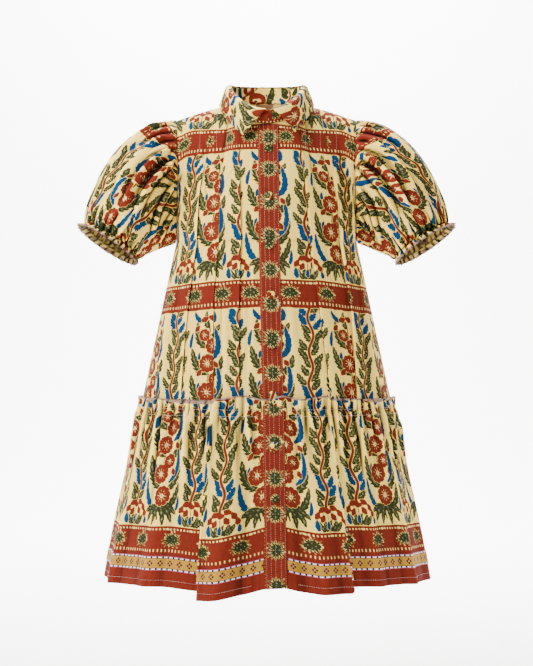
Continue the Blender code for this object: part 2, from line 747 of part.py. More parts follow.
def elastic_ring(turn, along):
    """Points of the gathered end: along 0 is the elastic's line and 1 the frill's edge."""
    tilt = math.radians(ELASTIC_TILT)
    out = np.array([SLEEVE_OUT[0] * math.cos(tilt), -math.sin(tilt), SLEEVE_OUT[1] * math.cos(tilt)])
    up = np.array([-SLEEVE_OUT[1], 0.0, SLEEVE_OUT[0]])
    front = np.cross(out, up)
    front *= -np.sign(front[1])
    angle = np.radians(turn)[:, None]
    wave = FRILL_WAVE * np.cos(math.pi * np.arange(len(turn)))[:, None] * min(2.0 * along, 1.0)
    radius = ELASTIC_RADIUS + FRILL_FLARE * along + wave
    centre = np.asarray(ELASTIC_CENTRE) + (out * FRILL_LENGTH + up * FRILL_SHIFT) * along
    return centre + radius * (np.cos(angle) * up + np.sin(angle) * front)


def sleeve_grid(columns):
    turn = np.arange(columns) * 360.0 / columns
    start, normals = armhole(turn)
    end = elastic_ring(turn, 0.0)
    angle = np.radians(turn)
    weights = {
        "top": np.clip(np.cos(angle), 0.0, 1.0) ** 2,
        "under": np.clip(-np.cos(angle), 0.0, 1.0) ** 2,
        "front": np.clip(np.sin(angle), 0.0, 1.0) ** 2,
        "back": np.clip(-np.sin(angle), 0.0, 1.0) ** 2,
    }
    first = sum(w[:, None] * np.asarray(SLEEVE_HANDLES[k][0]) for k, w in weights.items())
    second = sum(w[:, None] * np.asarray(SLEEVE_HANDLES[k][1]) for k, w in weights.items())
    start = start + normals * (SEAM_GAP + WALL)
    lines = []
    for row in SLEEVE_ROWS:
        if row <= 1.0:
            lines.append(bezier(start, start + first, end + second, end, np.full(columns, row)))
        else:
            lines.append(elastic_ring(turn, row - 1.0))
    grid = np.array(lines)
    ways = grid_normals(grid, round_tube=True)
    ways[0] = normals
    return grid + ways * sleeve_height(turn)[:, :, None], ways


def sleeve_height(turn):
    """Pleats that open from the sleeve's head, and gathers that draw in above the elastic."""
    out = []
    for row in SLEEVE_ROWS:
        head = smooth(row / 0.07) * smooth(1.0 - (row - 0.07) / 0.5)
        away = [(turn - p["angle"] + 180.0) % 360.0 - 180.0 for p in HEAD_PLEATS]
        pleats = sum(p["height"] * bump(a, HEAD_PLEAT_HALF) for p, a in zip(HEAD_PLEATS, away, strict=True))
        gather = CUFF_GATHER * np.cos(math.pi * np.arange(len(turn))) * smooth((row - 0.72) / 0.2) * (row < 1.0)
        out.append(head * pleats + gather)
    return np.array(out)


def make_sleeves():
    for name, side in (("sleeve_left", 1.0), ("sleeve_right", -1.0)):
        outer, ways = sleeve_grid(SLEEVE_COLUMNS)
        mirror = np.array([side, 1.0, 1.0])
        wall_object(name, outer * mirror, (outer - ways * WALL) * mirror, "cloth", round_tube=True)


materials = {}
collection = None


def main():
    global collection
    clear_scene()
    collection = bpy.data.collections.new("mini_dress")
    bpy.context.scene.collection.children.link(collection)
    for name, colour in COLOURS.items():
        materials[name] = make_material(name, colour)
    make_fronts()
    make_back()
    make_tier()
    make_ribbon()
    make_placket()
    make_buttons()
    make_collar()
    make_sleeves()


main()
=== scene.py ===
"""A worn mini shirt dress in block-printed cotton, dressed on its CAD frame.

Metres, +Z up, the front faces -Y and the wearer's left is +X.
"""

import math

import bpy
import mathutils
import numpy as np
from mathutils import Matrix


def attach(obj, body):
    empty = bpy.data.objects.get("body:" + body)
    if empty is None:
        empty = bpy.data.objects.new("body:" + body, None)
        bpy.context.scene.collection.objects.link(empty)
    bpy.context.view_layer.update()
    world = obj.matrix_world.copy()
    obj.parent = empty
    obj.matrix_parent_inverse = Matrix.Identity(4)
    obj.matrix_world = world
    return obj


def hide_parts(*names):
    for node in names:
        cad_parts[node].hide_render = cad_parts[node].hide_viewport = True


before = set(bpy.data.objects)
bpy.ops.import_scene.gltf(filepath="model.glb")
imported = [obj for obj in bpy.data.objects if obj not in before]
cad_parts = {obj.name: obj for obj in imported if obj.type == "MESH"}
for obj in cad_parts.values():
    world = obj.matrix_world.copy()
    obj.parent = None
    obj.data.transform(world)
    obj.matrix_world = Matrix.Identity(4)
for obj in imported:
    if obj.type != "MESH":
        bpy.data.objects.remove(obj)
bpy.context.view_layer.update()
bpy.ops.object.select_all(action="DESELECT")

# The printed cloth. The real one is a plain-woven cotton, printed with wooden blocks in red, green and
# blue on cream: upright bouquets between leafy vines, over a red border with bursts of small leaves.
# One block is worked out here in millimetres, as how deep each point lies inside each colour.

PRINT_REPEAT = 136.0
BLOCK_HEIGHT = 234.0
BAND_HEIGHT = 50.0
CELL = 0.5
CREAM_LINE = 0.55

print_across = np.arange(0.0, PRINT_REPEAT, CELL)
print_up = np.arange(-BAND_HEIGHT, BLOCK_HEIGHT, CELL)
colours = ("red", "green", "blue", "cream", "vein")
block = {name: np.full((len(print_up), len(print_across)), -9.0) for name in colours}


def window(x, y, reach):
    """Rows and columns of the block within reach of a place, and their offsets from it."""
    rows = np.flatnonzero(np.abs(print_up - y) < reach)
    away = (print_across - x + PRINT_REPEAT / 2.0) % PRINT_REPEAT - PRINT_REPEAT / 2.0
    columns = np.flatnonzero(np.abs(away) < reach)
    return np.ix_(rows, columns), away[columns][None, :], (print_up[rows] - y)[:, None]


def ink(name, place, amount):
    """Prints a shape in one colour. The colours under it stop a cream line's width short of it."""
    block[name][place] = np.maximum(block[name][place], amount)
    for other in colours[:3]:
        if other != name and name in colours[:3]:
            block[other][place] = np.minimum(block[other][place], -amount - CREAM_LINE)
    if name in colours[:3]:
        block["cream"][place] = np.minimum(block["cream"][place], -amount - CREAM_LINE)
        block["vein"][place] = np.minimum(block["vein"][place], -amount)


def curve(start, bend, end, steps):
    t = np.linspace(0.0, 1.0, steps + 1)[:, None]
    return (1 - t) ** 2 * np.array(start) + 2 * t * (1 - t) * np.array(bend) + t**2 * np.array(end)


def along_rib(rib, margin):
    """For the cells near a line: share of the way along it, distance to it, and the window."""
    low, high = rib.min(axis=0), rib.max(axis=0)
    centre = (low + high) / 2.0
    place, x, y = window(centre[0], centre[1], max(high - low) / 2.0 + margin)
    x, y = np.broadcast_arrays(x + centre[0], y + centre[1])
    best, share = np.full(x.shape, 1e9), np.zeros(x.shape)
    steps = len(rib) - 1
    for k in range(steps):
        ahead = rib[k + 1] - rib[k]
        t = ((x - rib[k, 0]) * ahead[0] + (y - rib[k, 1]) * ahead[1]) / (ahead @ ahead)
        t = np.clip(t, 0.0, 1.0)
        gap = np.hypot(x - rib[k, 0] - t * ahead[0], y - rib[k, 1] - t * ahead[1])
        share = np.where(gap < best, (k + t) / steps, share)
        best = np.minimum(gap, best)
    return place, share, best


def line(name, points, wide, narrow):
    place, share, gap = along_rib(np.asarray(points, float), 4.0)
    ink(name, place, wide + (narrow - wide) * share - gap)


def leaf(name, start, bend, end, width, teeth, depth=0.62, veins=True):
    """A fringed leaf: its lobes and veins point to its tip."""
    rib = curve(start, bend, end, 14)
    place, share, gap = along_rib(rib, width + 3.0)
    full = width * np.sin(math.pi * np.clip(share, 0.0, 1.0) ** 0.85) ** 0.6
    phase = (share * teeth - 0.95 * gap / width) % 1.0
    edge = full * (1.0 - depth * (1.0 - phase) ** 1.5 * np.clip(gap / (0.45 * width), 0.0, 1.0)) + 0.5
    body = np.minimum(edge - gap, 40.0 * np.minimum(share + 0.01, 1.01 - share))
    ink(name, place, body)
    if veins:
        length = np.linalg.norm(np.diff(rib, axis=0), axis=1).sum()
        notch = np.minimum(phase, 1.0 - phase) * length / teeth
        veins = np.maximum(0.30 - notch * 0.6, 0.42 - gap)
        fine = np.minimum(veins, np.minimum(body - 1.0, 30.0 * (share - 0.12)))
        block["vein"][place] = np.maximum(block["vein"][place], fine)


EYE_DOTS = 7


def rosette(x, y, radius, petals, turn=0.0):
    """An open flower of notched petals, with cream spokes and a ring of cream dots round its eye."""
    place, dx, dy = window(x, y, radius + 3.0)
    r = np.hypot(dx, dy)
    angle = np.arctan2(dy, dx) - turn

    def from_beam(beams):
        """Distance to the nearest of some evenly spaced beams from the middle."""
        return np.abs(((angle * beams / (2 * math.pi)) % 1.0) - 0.5) * 2 * math.pi / beams * r

    beat = np.abs(np.cos(petals * angle / 2.0))
    notch = 0.12 * np.clip(np.cos(petals * angle) - 0.55, 0.0, 1.0)
    ink("red", place, radius * (0.86 + 0.24 * beat**0.5 - notch) - r)
    spoke = np.minimum(0.34 + 0.030 * r - from_beam(petals), np.minimum(r - radius * 0.26, radius * 0.64 - r))
    ring = radius * 0.07 - np.abs(r - radius * 0.16)
    dots = np.minimum(ring, 0.07 * radius - from_beam(EYE_DOTS))
    eye = np.maximum(spoke, dots)
    block["cream"][place] = np.maximum(block["cream"][place], eye)


def blossom(x, y, radius, turn):
    """A small three-petalled flower with a pale notch between its petals."""
    for k in (-1, 1, 0):
        a = turn + 0.85 * k
        tip = (x + radius * math.cos(a), y + radius * math.sin(a))
        line("red", [(x, y), tip], radius * 0.40, radius * 0.58)


# Bouquet: its middle is at 0 across
for start, bend, end, width, teeth in (
    ((-5, 66), (-34, 76), (-37, 122), 10.5, 7), ((-4, 122), (-30, 128), (-35, 168), 10.0, 7),
    ((-5, 168), (-26, 176), (-24, 214), 9.0, 6), ((6, 30), (33, 34), (36, 74), 7.5, 5),
    ((8, 120), (34, 122), (36, 152), 8.5, 5), ((8, 60), (30, 70), (36, 104), 7.5, 5),
    ((4, 190), (24, 186), (31, 208), 7.5, 5), ((-2, 202), (-8, 210), (-5, 232), 6.5, 5),
):
    leaf("green", start, bend, end, width, teeth)
line("green", curve((0, 12), (-13, 60), (-4, 110), 10), 1.8, 1.5)
line("green", curve((-4, 110), (5, 160), (0, 210), 10), 1.5, 1.2)
for start, bend, end, width, teeth in (
    ((13, 74), (42, 96), (24, 142), 5.2, 8), ((13, 146), (41, 160), (20, 206), 6.4, 7),
    ((-12, 30), (-39, 34), (-40, 84), 6.2, 6), ((-12, 214), (-26, 216), (-30, 232), 5.0, 4),
    ((14, 212), (26, 214), (20, 233), 5.0, 4), ((-38, 168), (-39, 180), (-33, 196), 3.6, 3),
    ((34, 26), (39, 34), (38, 52), 3.6, 3),
):
    leaf("blue", start, bend, end, width, teeth, 0.45, False)
leaf("blue", (-21, 92), (-25, 98), (-21, 108), 3.4, 2, 0.3, False)
leaf("blue", (-19, 146), (-22, 151), (-19, 160), 3.0, 2, 0.3, False)
for end, width in (
    ((-35, 24), 6.0), ((35, 20), 6.0), ((-27, 8), 7.0), ((27, 6), 7.0), ((-11, 2), 7.0), ((12, 1), 7.0),
):
    leaf("green", (0, 36), (end[0] * 0.75, 33), end, width, 4, 0.5)
for x, y, r, petals, turn in (
    (3, 52, 17.0, 10, 0.2), (-7, 90, 16.5, 9, 0.5), (10, 112, 12.0, 8, 0.1),
    (-4, 140, 15.5, 10, 0.3), (7, 170, 14.0, 8, 0.0), (-10, 190, 10.5, 7, 0.4),
):
    rosette(x, y, r, petals, turn)
for x, y, r, turn in (
    (-18, 122, 5.4, 2.4), (22, 136, 5.0, 0.6), (-8, 214, 6.0, 1.9), (5, 216, 6.0, 1.3),
    (14, 200, 5.4, 0.5), (-22, 200, 5.2, 2.4), (18, 92, 5.0, 0.4),
):
    blossom(x, y, r, turn)


# Vine: it sways up the block between two bouquets, from a foot of small blossoms and leaves
VINE_MIDDLE = PRINT_REPEAT / 2.0
VINE_BLOSSOMS = (
    (50, 27, 2.6), (58, 36, 2.1), (67, 33, 1.5), (77, 38, 1.1), (87, 30, 0.6), (60, 22, 2.6), (75, 24, 0.6),
    (93, 20, 0.3),
)


def vine_x(y):
    return VINE_MIDDLE + 4.2 * math.sin(y / 9.2) + 1.6 * math.sin(y / 23.0)


for k, y in enumerate(range(44, 234, 15)):
    for side in (-1, 1):
        at = y + (6 if side > 0 else 0)
        x = vine_x(at)
        name = "blue" if (2 * k + side) % 9 in (3, 5) else "green"
        out = 17.0 + 3.0 * math.sin(k * 2.1 + side)
        bend, end = (x + side * out * 0.72, at + 1.0), (x + side * out, at + 16.0)
        leaf(name, (x + side * 1.5, at - 2), bend, end, 7.0, 4, 0.62, name == "green")
line("red", [(vine_x(y), y) for y in range(34, 238, 4)], 2.7, 2.3)
for x, y, turn in VINE_BLOSSOMS:
    aside = x - VINE_MIDDLE
    stalk = curve((VINE_MIDDLE + aside * 0.3, 3), (VINE_MIDDLE + aside * 0.5, y * 0.6), (x, y), 6)
    line("green", stalk, 1.1, 0.9)
for x in (54, 62, 70, 79, 86):
    aside = x - VINE_MIDDLE
    leaf("green", (VINE_MIDDLE + aside * 0.6, 2), (x, 6), (x + aside * 0.35, 20), 4.2, 3, 0.5)
for x, y, turn in VINE_BLOSSOMS:
    blossom(x, y, 5.6, turn)
leaf("blue", (50, 4), (44, 9), (46, 22), 5.0, 3, 0.4, False)
leaf("blue", (97, 4), (101, 8), (98, 16), 4.0, 3, 0.4, False)
leaf("blue", (69, 5), (65, 10), (68, 20), 3.6, 2, 0.4, False)

# Border band below the block, with dashes, ticks and bursts of small leaves
rows = np.flatnonzero(print_up < 3.0)
depth = np.minimum(print_up[rows] + BAND_HEIGHT, -print_up[rows])[:, None] + 0.0 * print_across[None, :]
ink("red", np.ix_(rows, np.arange(len(print_across))), depth)


# Leaves of a burst: their direction in degrees and their reach
BURST_LEAVES = (
    (0, 1.0), (18, 0.9), (38, 1.05), (58, 0.85), (76, 1.0), (96, 0.95), (116, 0.8), (136, 1.05), (158, 0.85),
    (180, 1.0), (200, 0.95), (224, 1.0), (252, 0.8), (288, 0.8), (314, 1.0), (340, 0.95),
)


def burst(x, y, size):
    """A bush of small leaves round a middle with cream dots, on the red border."""
    for name, wide, narrow in (("cream", 3.2, 1.2), ("green", 2.4, 0.7)):
        for degrees, reach in BURST_LEAVES:
            a = math.radians(degrees)
            tip = (x + size * reach * math.cos(a), y + size * 0.86 * reach * math.sin(a))
            near = (x + 3.0 * math.cos(a), y + 2.0 * math.sin(a))
            place, share, gap = along_rib(np.array([near, tip]), 4.0)
            amount = wide + (narrow - wide) * share - gap
            block[name][place] = np.maximum(block[name][place], amount)
            if name == "green":
                cream = block["cream"][place]
                block["cream"][place] = np.where(amount > 0.0, np.minimum(cream, -amount), cream)
                block["red"][place] = np.minimum(block["red"][place], -amount)
    for dx, dy in ((-6, 1), (6, 1), (0, 5), (0, -3), (-9, -4), (9, -4), (-3, -6), (4, -6), (0, 10)):
        place, ox, oy = window(x + dx, y + dy, 3.0)
        block["vein"][place] = np.maximum(block["vein"][place], 1.3 - np.hypot(ox, oy))


burst(34.0, -24.0, 18.5)
burst(102.0, -24.0, 17.5)
DASH_Y, TICK_Y, DASHES = -5.2, -41.5, 20
for k in range(DASHES):
    x = PRINT_REPEAT / DASHES * (k + 0.5)
    for y, half_wide, half_high in ((DASH_Y, 3.2 if k % 7 == 3 else 1.6, 1.7), (TICK_Y, 1.15, 2.6)):
        place, dx, dy = window(x, y, 5.0)
        square = np.minimum(half_wide - np.abs(dx), half_high - np.abs(dy))
        block["cream"][place] = np.maximum(block["cream"][place], square)


def block_at(x, y):
    """How deep places in millimetres lie in each colour of the print, repeated all over the cloth."""
    column = (np.asarray(x, float) / CELL) % len(print_across)
    row = ((np.asarray(y, float) + BAND_HEIGHT) / CELL) % len(print_up)
    c0, r0 = np.floor(column).astype(int), np.floor(row).astype(int)
    cx, ry = column - c0, row - r0
    c0, r0 = c0 % len(print_across), r0 % len(print_up)
    c1, r1 = (c0 + 1) % len(print_across), (r0 + 1) % len(print_up)
    found = {}
    for name, field in block.items():
        low = field[r0, c0] * (1 - cx) + field[r0, c1] * cx
        high = field[r1, c0] * (1 - cx) + field[r1, c1] * cx
        found[name] = np.clip(low * (1 - ry) + high * ry, -4.0, 4.0)
    return found


def add_node(tree, kind, **sockets):
    """Adds a shader node. A socket that is given a number or colour takes it, any other is linked."""
    node = tree.nodes.new(kind)
    for key, value in sockets.items():
        if key in ("operation", "blend_type", "data_type", "attribute_name", "interpolation_type"):
            setattr(node, key, value)
            continue
        numbered = key[0] == "i" and key[1:].isdigit()
        socket = node.inputs[int(key[1:]) if numbered else key.replace("_", " ")]
        if isinstance(value, bpy.types.NodeSocket):
            tree.links.new(value, socket)
        else:
            socket.default_value = value
    return node


def attribute(tree, name, output="Fac"):
    return add_node(tree, "ShaderNodeAttribute", attribute_name=name).outputs[output]


def calc(tree, operation, a, b=0.0, c=0.0):
    return add_node(tree, "ShaderNodeMath", operation=operation, i0=a, i1=b, i2=c).outputs[0]


def step_between(tree, value, low, high):
    """0 below low, 1 above high, smooth between."""
    node = add_node(tree, "ShaderNodeMapRange", interpolation_type="SMOOTHSTEP", Value=value)
    node.inputs["From Min"].default_value = low
    node.inputs["From Max"].default_value = high
    return node.outputs["Result"]


def paint(tree, under, colour, share):
    node = add_node(tree, "ShaderNodeMix", data_type="RGBA")
    for socket, value in ((node.inputs[0], share), (node.inputs[6], under), (node.inputs[7], colour)):
        if isinstance(value, bpy.types.NodeSocket):
            tree.links.new(value, socket)
        else:
            socket.default_value = value
    return node.outputs[2]


def noise(tree, place, scale, detail=2.0, stretch=(1.0, 1.0, 1.0)):
    moved = add_node(tree, "ShaderNodeMapping", Vector=place)
    moved.inputs["Scale"].default_value = stretch
    node = add_node(tree, "ShaderNodeTexNoise", Vector=moved.outputs[0], Scale=scale, Detail=detail)
    return node.outputs[0]


CREAM = (1.000, 0.690, 0.120, 1.0)
RED = (0.118, 0.0125, 0.0066, 1.0)
GREEN = (0.014, 0.018, 0.006, 1.0)
BLUE = (0.001, 0.027, 0.084, 1.0)
LEAF_VEIN = (0.480, 0.430, 0.180, 1.0)
OVERLOCK = (0.330, 0.210, 0.150, 1.0)


def cloth_weave(tree, place):
    """Height of a plain weave: a warp and a weft yarn each 0.45 mm, uneven along their length."""
    slub = noise(tree, place, 0.35, 2.0, (1.0, 7.0, 1.0))
    slub_up = noise(tree, place, 0.35, 2.0, (7.0, 1.0, 1.0))
    x, y = [add_node(tree, "ShaderNodeSeparateXYZ", Vector=place).outputs[k] for k in (0, 1)]
    weft = calc(tree, "SINE", calc(tree, "MULTIPLY", y, 14.0))
    warp = calc(tree, "SINE", calc(tree, "MULTIPLY", x, 14.0))
    yarns = calc(tree, "MULTIPLY_ADD", calc(tree, "MULTIPLY", weft, warp), 0.25, slub)
    return calc(tree, "ADD", yarns, slub_up), slub


def finish_cloth_and_paint_shade(material, colour, place, roughness=0.86, bump=0.10):
    tree = material.node_tree
    weave, slub = cloth_weave(tree, place)
    shader = tree.nodes["Principled BSDF"]
    # Painted shade and highlight: the colour is darkened in the troughs of folds and gathers and lightened on
    # sharp folds, by the hollow layer. The slub adds the yarn's own uneven tone.
    hollow = attribute(tree, "hollow")
    deep = calc(tree, "MAXIMUM", calc(tree, "MULTIPLY", hollow, 0.95), calc(tree, "MULTIPLY", hollow, 0.30))
    shade = calc(tree, "SUBTRACT", calc(tree, "MULTIPLY_ADD", slub, 0.80, 0.60), deep)
    tone_and_painted_shade = add_node(tree, "ShaderNodeMix", data_type="RGBA", blend_type="MULTIPLY")
    tone_and_painted_shade.inputs[0].default_value = 1.0
    tree.links.new(colour, tone_and_painted_shade.inputs[6])
    tree.links.new(shade, tone_and_painted_shade.inputs[7])
    tree.links.new(tone_and_painted_shade.outputs[2], shader.inputs["Base Color"])
    rough = calc(tree, "MULTIPLY_ADD", slub, 0.12, roughness - 0.06)
    tree.links.new(rough, shader.inputs["Roughness"])
    relief = add_node(tree, "ShaderNodeBump", Height=weave)
    relief.inputs["Strength"].default_value = bump
    relief.inputs["Distance"].default_value = 0.0004
    tree.links.new(relief.outputs[0], shader.inputs["Normal"])
    shader.inputs["Sheen Weight"].default_value = 0.01
    shader.inputs["Sheen Roughness"].default_value = 0.55
    shader.inputs["Specular IOR Level"].default_value = 0.05


def printed_material(name, ground=CREAM):
    material = bpy.data.materials.new(name)
    material.use_nodes = True
    tree = material.node_tree
    place = attribute(tree, "cloth_place", "Vector")
    dabs = noise(tree, place, 0.16, 3.0)
    patchy = noise(tree, place, 0.030, 3.0)
    colour = paint(tree, ground, (0.840, 0.560, 0.140, 1.0), calc(tree, "MULTIPLY", patchy, 0.45))
    blue = paint(tree, BLUE, (0.002, 0.050, 0.132, 1.0), dabs)
    colour = paint(tree, colour, blue, step_between(tree, attribute(tree, "blue"), -0.30, 0.30))
    green = paint(tree, GREEN, (0.034, 0.040, 0.013, 1.0), dabs)
    colour = paint(tree, colour, green, step_between(tree, attribute(tree, "green"), -0.30, 0.30))
    red = paint(tree, RED, (0.180, 0.021, 0.009, 1.0), dabs)
    colour = paint(tree, colour, red, step_between(tree, attribute(tree, "red"), -0.30, 0.30))
    cream = step_between(tree, attribute(tree, "cream"), -0.35, 0.35)
    colour = paint(tree, colour, (0.900, 0.630, 0.190, 1.0), cream)
    vein = calc(tree, "MULTIPLY", step_between(tree, attribute(tree, "vein"), -0.5, 0.5), 0.55)
    colour = paint(tree, colour, LEAF_VEIN, vein)
    # The wrong side of the cloth, on its inner skin, is darkened towards brown. This is painted shade for the
    # insides of the sleeves, frills and tier, with the print still showing through.
    behind = attribute(tree, "wrong_side_shade")
    colour = paint(tree, colour, (0.230, 0.160, 0.085, 1.0), calc(tree, "MULTIPLY", behind, 0.55))
    edge = attribute(tree, "edge")
    threads = add_node(tree, "ShaderNodeSeparateXYZ", Vector=place).outputs[0]
    twist = calc(tree, "SINE", calc(tree, "MULTIPLY", threads, 3.0))
    lock = calc(tree, "SUBTRACT", 1.0, step_between(tree, edge, 2.4, 3.2))
    locked = paint(tree, OVERLOCK, (0.150, 0.085, 0.060, 1.0), calc(tree, "MULTIPLY_ADD", twist, 0.25, 0.25))
    colour = paint(tree, colour, locked, lock)
    finish_cloth_and_paint_shade(material, colour, place)
    return material


printed_cotton = printed_material("printed_cotton")


def run_along(points):
    """Distance along a line of points, from its start."""
    return np.concatenate([[0.0], np.cumsum(np.linalg.norm(np.diff(points, axis=0), axis=1))])


def run_down(grid):
    """Distance down each column of a grid, from its first row."""
    steps = np.linalg.norm(np.diff(grid, axis=0), axis=2)
    return np.concatenate([np.zeros((1, grid.shape[1])), np.cumsum(steps, axis=0)])


def grid_normals(points, tube=False):
    down = np.gradient(points, axis=0)
    if tube:
        sideways = np.roll(points, -1, axis=1) - np.roll(points, 1, axis=1)
    else:
        sideways = np.gradient(points, axis=1)
    normals = np.cross(down, sideways)
    return normals / np.maximum(np.linalg.norm(normals, axis=2), 1e-9)[:, :, None]


def hollows(points, normals, tube):
    """How hollow the cloth is at each point, from -1 on a sharp fold to 1 in a tight trough."""
    found = np.zeros(points.shape[:2])
    for span, weight in ((2, 2.6), (5, 4.0)):
        for axis in (0, 1):
            ends = "wrap" if tube and axis == 1 else "edge"
            reach = [(span, span) if a == axis else (0, 0) for a in (0, 1)] + [(0, 0)]
            wide = np.pad(points, reach, mode=ends)
            count = points.shape[axis]
            before, after = wide.take(range(count), axis), wide.take(range(2 * span, count + 2 * span), axis)
            gap = ((before + after) / 2.0 - points) * normals
            length = np.linalg.norm(after - before, axis=2) + 0.002
            found += weight * gap.sum(axis=2) / length
    return np.clip(found, -1.0, 1.0)


NO_EDGE = 50.0


def add_layers(mesh, layers, x, y):
    """Writes a value for each point in each layer, and the point's place in the print."""
    for layer, values in layers.items():
        mesh.attributes.new(layer, "FLOAT", "POINT").data.foreach_set("value", values)
    flat = np.stack([x, y, 0.0 * x], axis=-1)
    mesh.attributes.new("cloth_place", "FLOAT_VECTOR", "POINT").data.foreach_set("vector", flat.ravel())


def cloth_shell(name, outer, inner, print_xy, material, edge=None, tube=False, every=3, wrong_side_shade=1.0):
    """A sheet of cloth as a closed shell: a fine outer skin, an inner skin with a point at every third
    of the outer's, and rims between them. Grids are rows x columns x 3 and run down and to the side.
    edge is how far each point lies from an overlocked edge, in millimetres."""
    rows, columns = outer.shape[:2]
    low_rows, low_columns = inner.shape[:2]
    first = rows * columns
    x, y = print_xy
    edge = np.full((rows, columns), NO_EDGE) if edge is None else edge
    points = np.concatenate([outer.reshape(-1, 3), inner.reshape(-1, 3)])

    def out(i, j):
        return i * columns + j % columns

    def back(i, j):
        return first + i * low_columns + j % low_columns

    open_sides = 0 if tube else 1
    i, j = np.meshgrid(np.arange(rows - 1), np.arange(columns - open_sides), indexing="ij")
    fine = np.stack([out(i, j), out(i + 1, j), out(i + 1, j + 1), out(i, j + 1)], axis=-1)
    i, j = np.meshgrid(np.arange(low_rows - 1), np.arange(low_columns - open_sides), indexing="ij")
    coarse = np.stack([back(i, j), back(i, j + 1), back(i + 1, j + 1), back(i + 1, j)], axis=-1)
    rims = []
    ahead, behind = list(range(every + 1)), list(range(every, -1, -1))
    last, low_last, hem, low_hem = columns - 1, low_columns - 1, rows - 1, low_rows - 1
    for k in range(low_columns - open_sides):
        rims.append([out(0, every * k + n) for n in ahead] + [back(0, k + 1), back(0, k)])
        rims.append([out(hem, every * k + n) for n in behind] + [back(low_hem, k), back(low_hem, k + 1)])
    for k in range(low_hem * open_sides):
        rims.append([out(every * k + n, 0) for n in behind] + [back(k, 0), back(k + 1, 0)])
        rims.append([out(every * k + n, last) for n in ahead] + [back(k + 1, low_last), back(k, low_last)])
    corner = outer[:-1, :-1]
    normals = np.cross(outer[1:, :-1] - corner, outer[:-1, 1:] - corner)[::every, ::every]
    apart = (outer[::every, ::every] - inner)[: normals.shape[0], : normals.shape[1]]
    inside_out = (normals * apart).sum() < 0.0
    # How hollow the outer skin is, kept as a layer that paints shade into troughs and a highlight onto sharp
    # folds.
    hollow = hollows(outer, grid_normals(outer, tube) * (-1.0 if inside_out else 1.0), tube)
    faces = fine.reshape(-1, 4).tolist() + coarse.reshape(-1, 4).tolist() + rims
    if inside_out:
        faces = [face[::-1] for face in faces]
    mesh = bpy.data.meshes.new(name)
    mesh.from_pydata(points.tolist(), [], faces)
    mesh.shade_smooth()

    def on_both(values):
        return np.concatenate([values.ravel(), values[::every, ::every].ravel()])

    layers = {layer: on_both(values) for layer, values in block_at(x, y).items()}
    # The inner skin is the cloth's wrong side and carries its painted shade.
    layers["wrong_side_shade"] = np.concatenate([np.zeros(first), np.full(low_rows * low_columns, wrong_side_shade)])
    layers["edge"], layers["hollow"] = on_both(edge), on_both(hollow)
    add_layers(mesh, layers, on_both(x), on_both(y))
    mesh.materials.append(material)
    mesh.update()
    piece = bpy.data.objects.new(name, mesh)
    bpy.context.scene.collection.objects.link(piece)
    return piece


# The two front panels. They are cut straight and hang from the shoulder seams. Three tucks are sewn
# into each from the shoulder to the chest, and below them the tucks open into pleats.

WALL = 0.0012
UNDERARM_Z, SEAM_Z, HEM_Z = -0.250, -0.541, -0.838
SECTION_ROWS = (1.0, 2.0, 3.0)
HALF_WIDTHS = (0.1634, 0.2262, 0.2840)
DEPTHS = {"front": (0.120, 0.176, 0.230), "back": (0.104, 0.160, 0.215)}
NECK_HALF_WIDTH = 0.064
NECK_POINTS = {"front": (0.0, -0.070, -0.042), "back": (0.0, 0.060, 0.009)}
SHOULDER_TIP = (0.162, 0.0, -0.029)
SHOULDER_RISE = 0.0022
NECK_ANGLE = 33.0
FRONT_DRIFT = (0.8, 1.6, 3.0, 3.2)


def smooth(t):
    t = np.clip(t, 0.0, 1.0)
    return t * t * (3.0 - 2.0 * t)


def ridge(distance, half):
    return smooth(1.0 - np.abs(distance) / half)


def steep(distance, half):
    """A fold that rises slowly from one side and drops steeply on the other."""
    t = distance / half
    return smooth((t + 1.0) / 1.65) * smooth((1.0 - t) / 0.35)


def mix(a, b, t):
    return np.asarray(a) * (1.0 - t) + np.asarray(b) * t


def bezier(p0, p1, p2, p3, t):
    t = t[:, None]
    s = 1.0 - t
    return s**3 * p0 + 3 * s * s * t * p1 + 3 * s * t * t * p2 + t**3 * p3


def body_ring(angle, row, face):
    turn = np.radians(angle)
    width = np.interp(row, SECTION_ROWS, HALF_WIDTHS)
    depth = np.interp(row, SECTION_ROWS, DEPTHS[face])
    z = np.interp(row, SECTION_ROWS, (UNDERARM_Z, SEAM_Z, HEM_Z))
    return np.stack([width * np.sin(turn), -depth * np.cos(turn), z + 0 * turn], axis=-1)


def body_top(angle, face):
    """The neckline, then the shoulder seam out to its tip."""
    neck = NECK_POINTS[face]
    turn = np.radians(np.clip(angle / NECK_ANGLE, 0.0, 1.0) * 90.0)
    ahead = np.cos(turn)
    neckline = np.stack([NECK_HALF_WIDTH * np.sin(turn), neck[1] * ahead, neck[2] * ahead], axis=-1)
    along = np.clip((angle - NECK_ANGLE) / (90.0 - NECK_ANGLE), 0.0, 1.0)[:, None]
    seam = mix(np.array([NECK_HALF_WIDTH, 0.0, 0.0]), np.array(SHOULDER_TIP), along)
    seam[:, 2] += SHOULDER_RISE * np.sin(math.pi * along[:, 0])
    return np.where((angle <= NECK_ANGLE)[:, None], neckline, seam)


def body_face(angle, row, face):
    if row >= 1.0:
        points = body_ring(angle, row, face)
    else:
        side = smooth((angle - 62.0) / 28.0)[:, None]
        middle = smooth(1.0 - angle / NECK_ANGLE)[:, None]
        top = body_top(angle, face)
        if face == "back":
            top[:, 1] *= -1.0
        chest = body_ring(angle, 1.0, face)
        from_top = mix((0.0, -0.052, -0.024), (0.0, -0.016, -0.060), middle)
        from_top = mix(from_top, (-0.006, -0.058, -0.040), side)
        to_chest = mix((0.0, 0.0, 0.085), (-0.008, -0.050, 0.040), side)
        points = bezier(top, top + from_top, chest + to_chest, chest, np.full(len(angle), row))
    if face == "back":
        points = points * np.array([1.0, -1.0, 1.0])
    return points


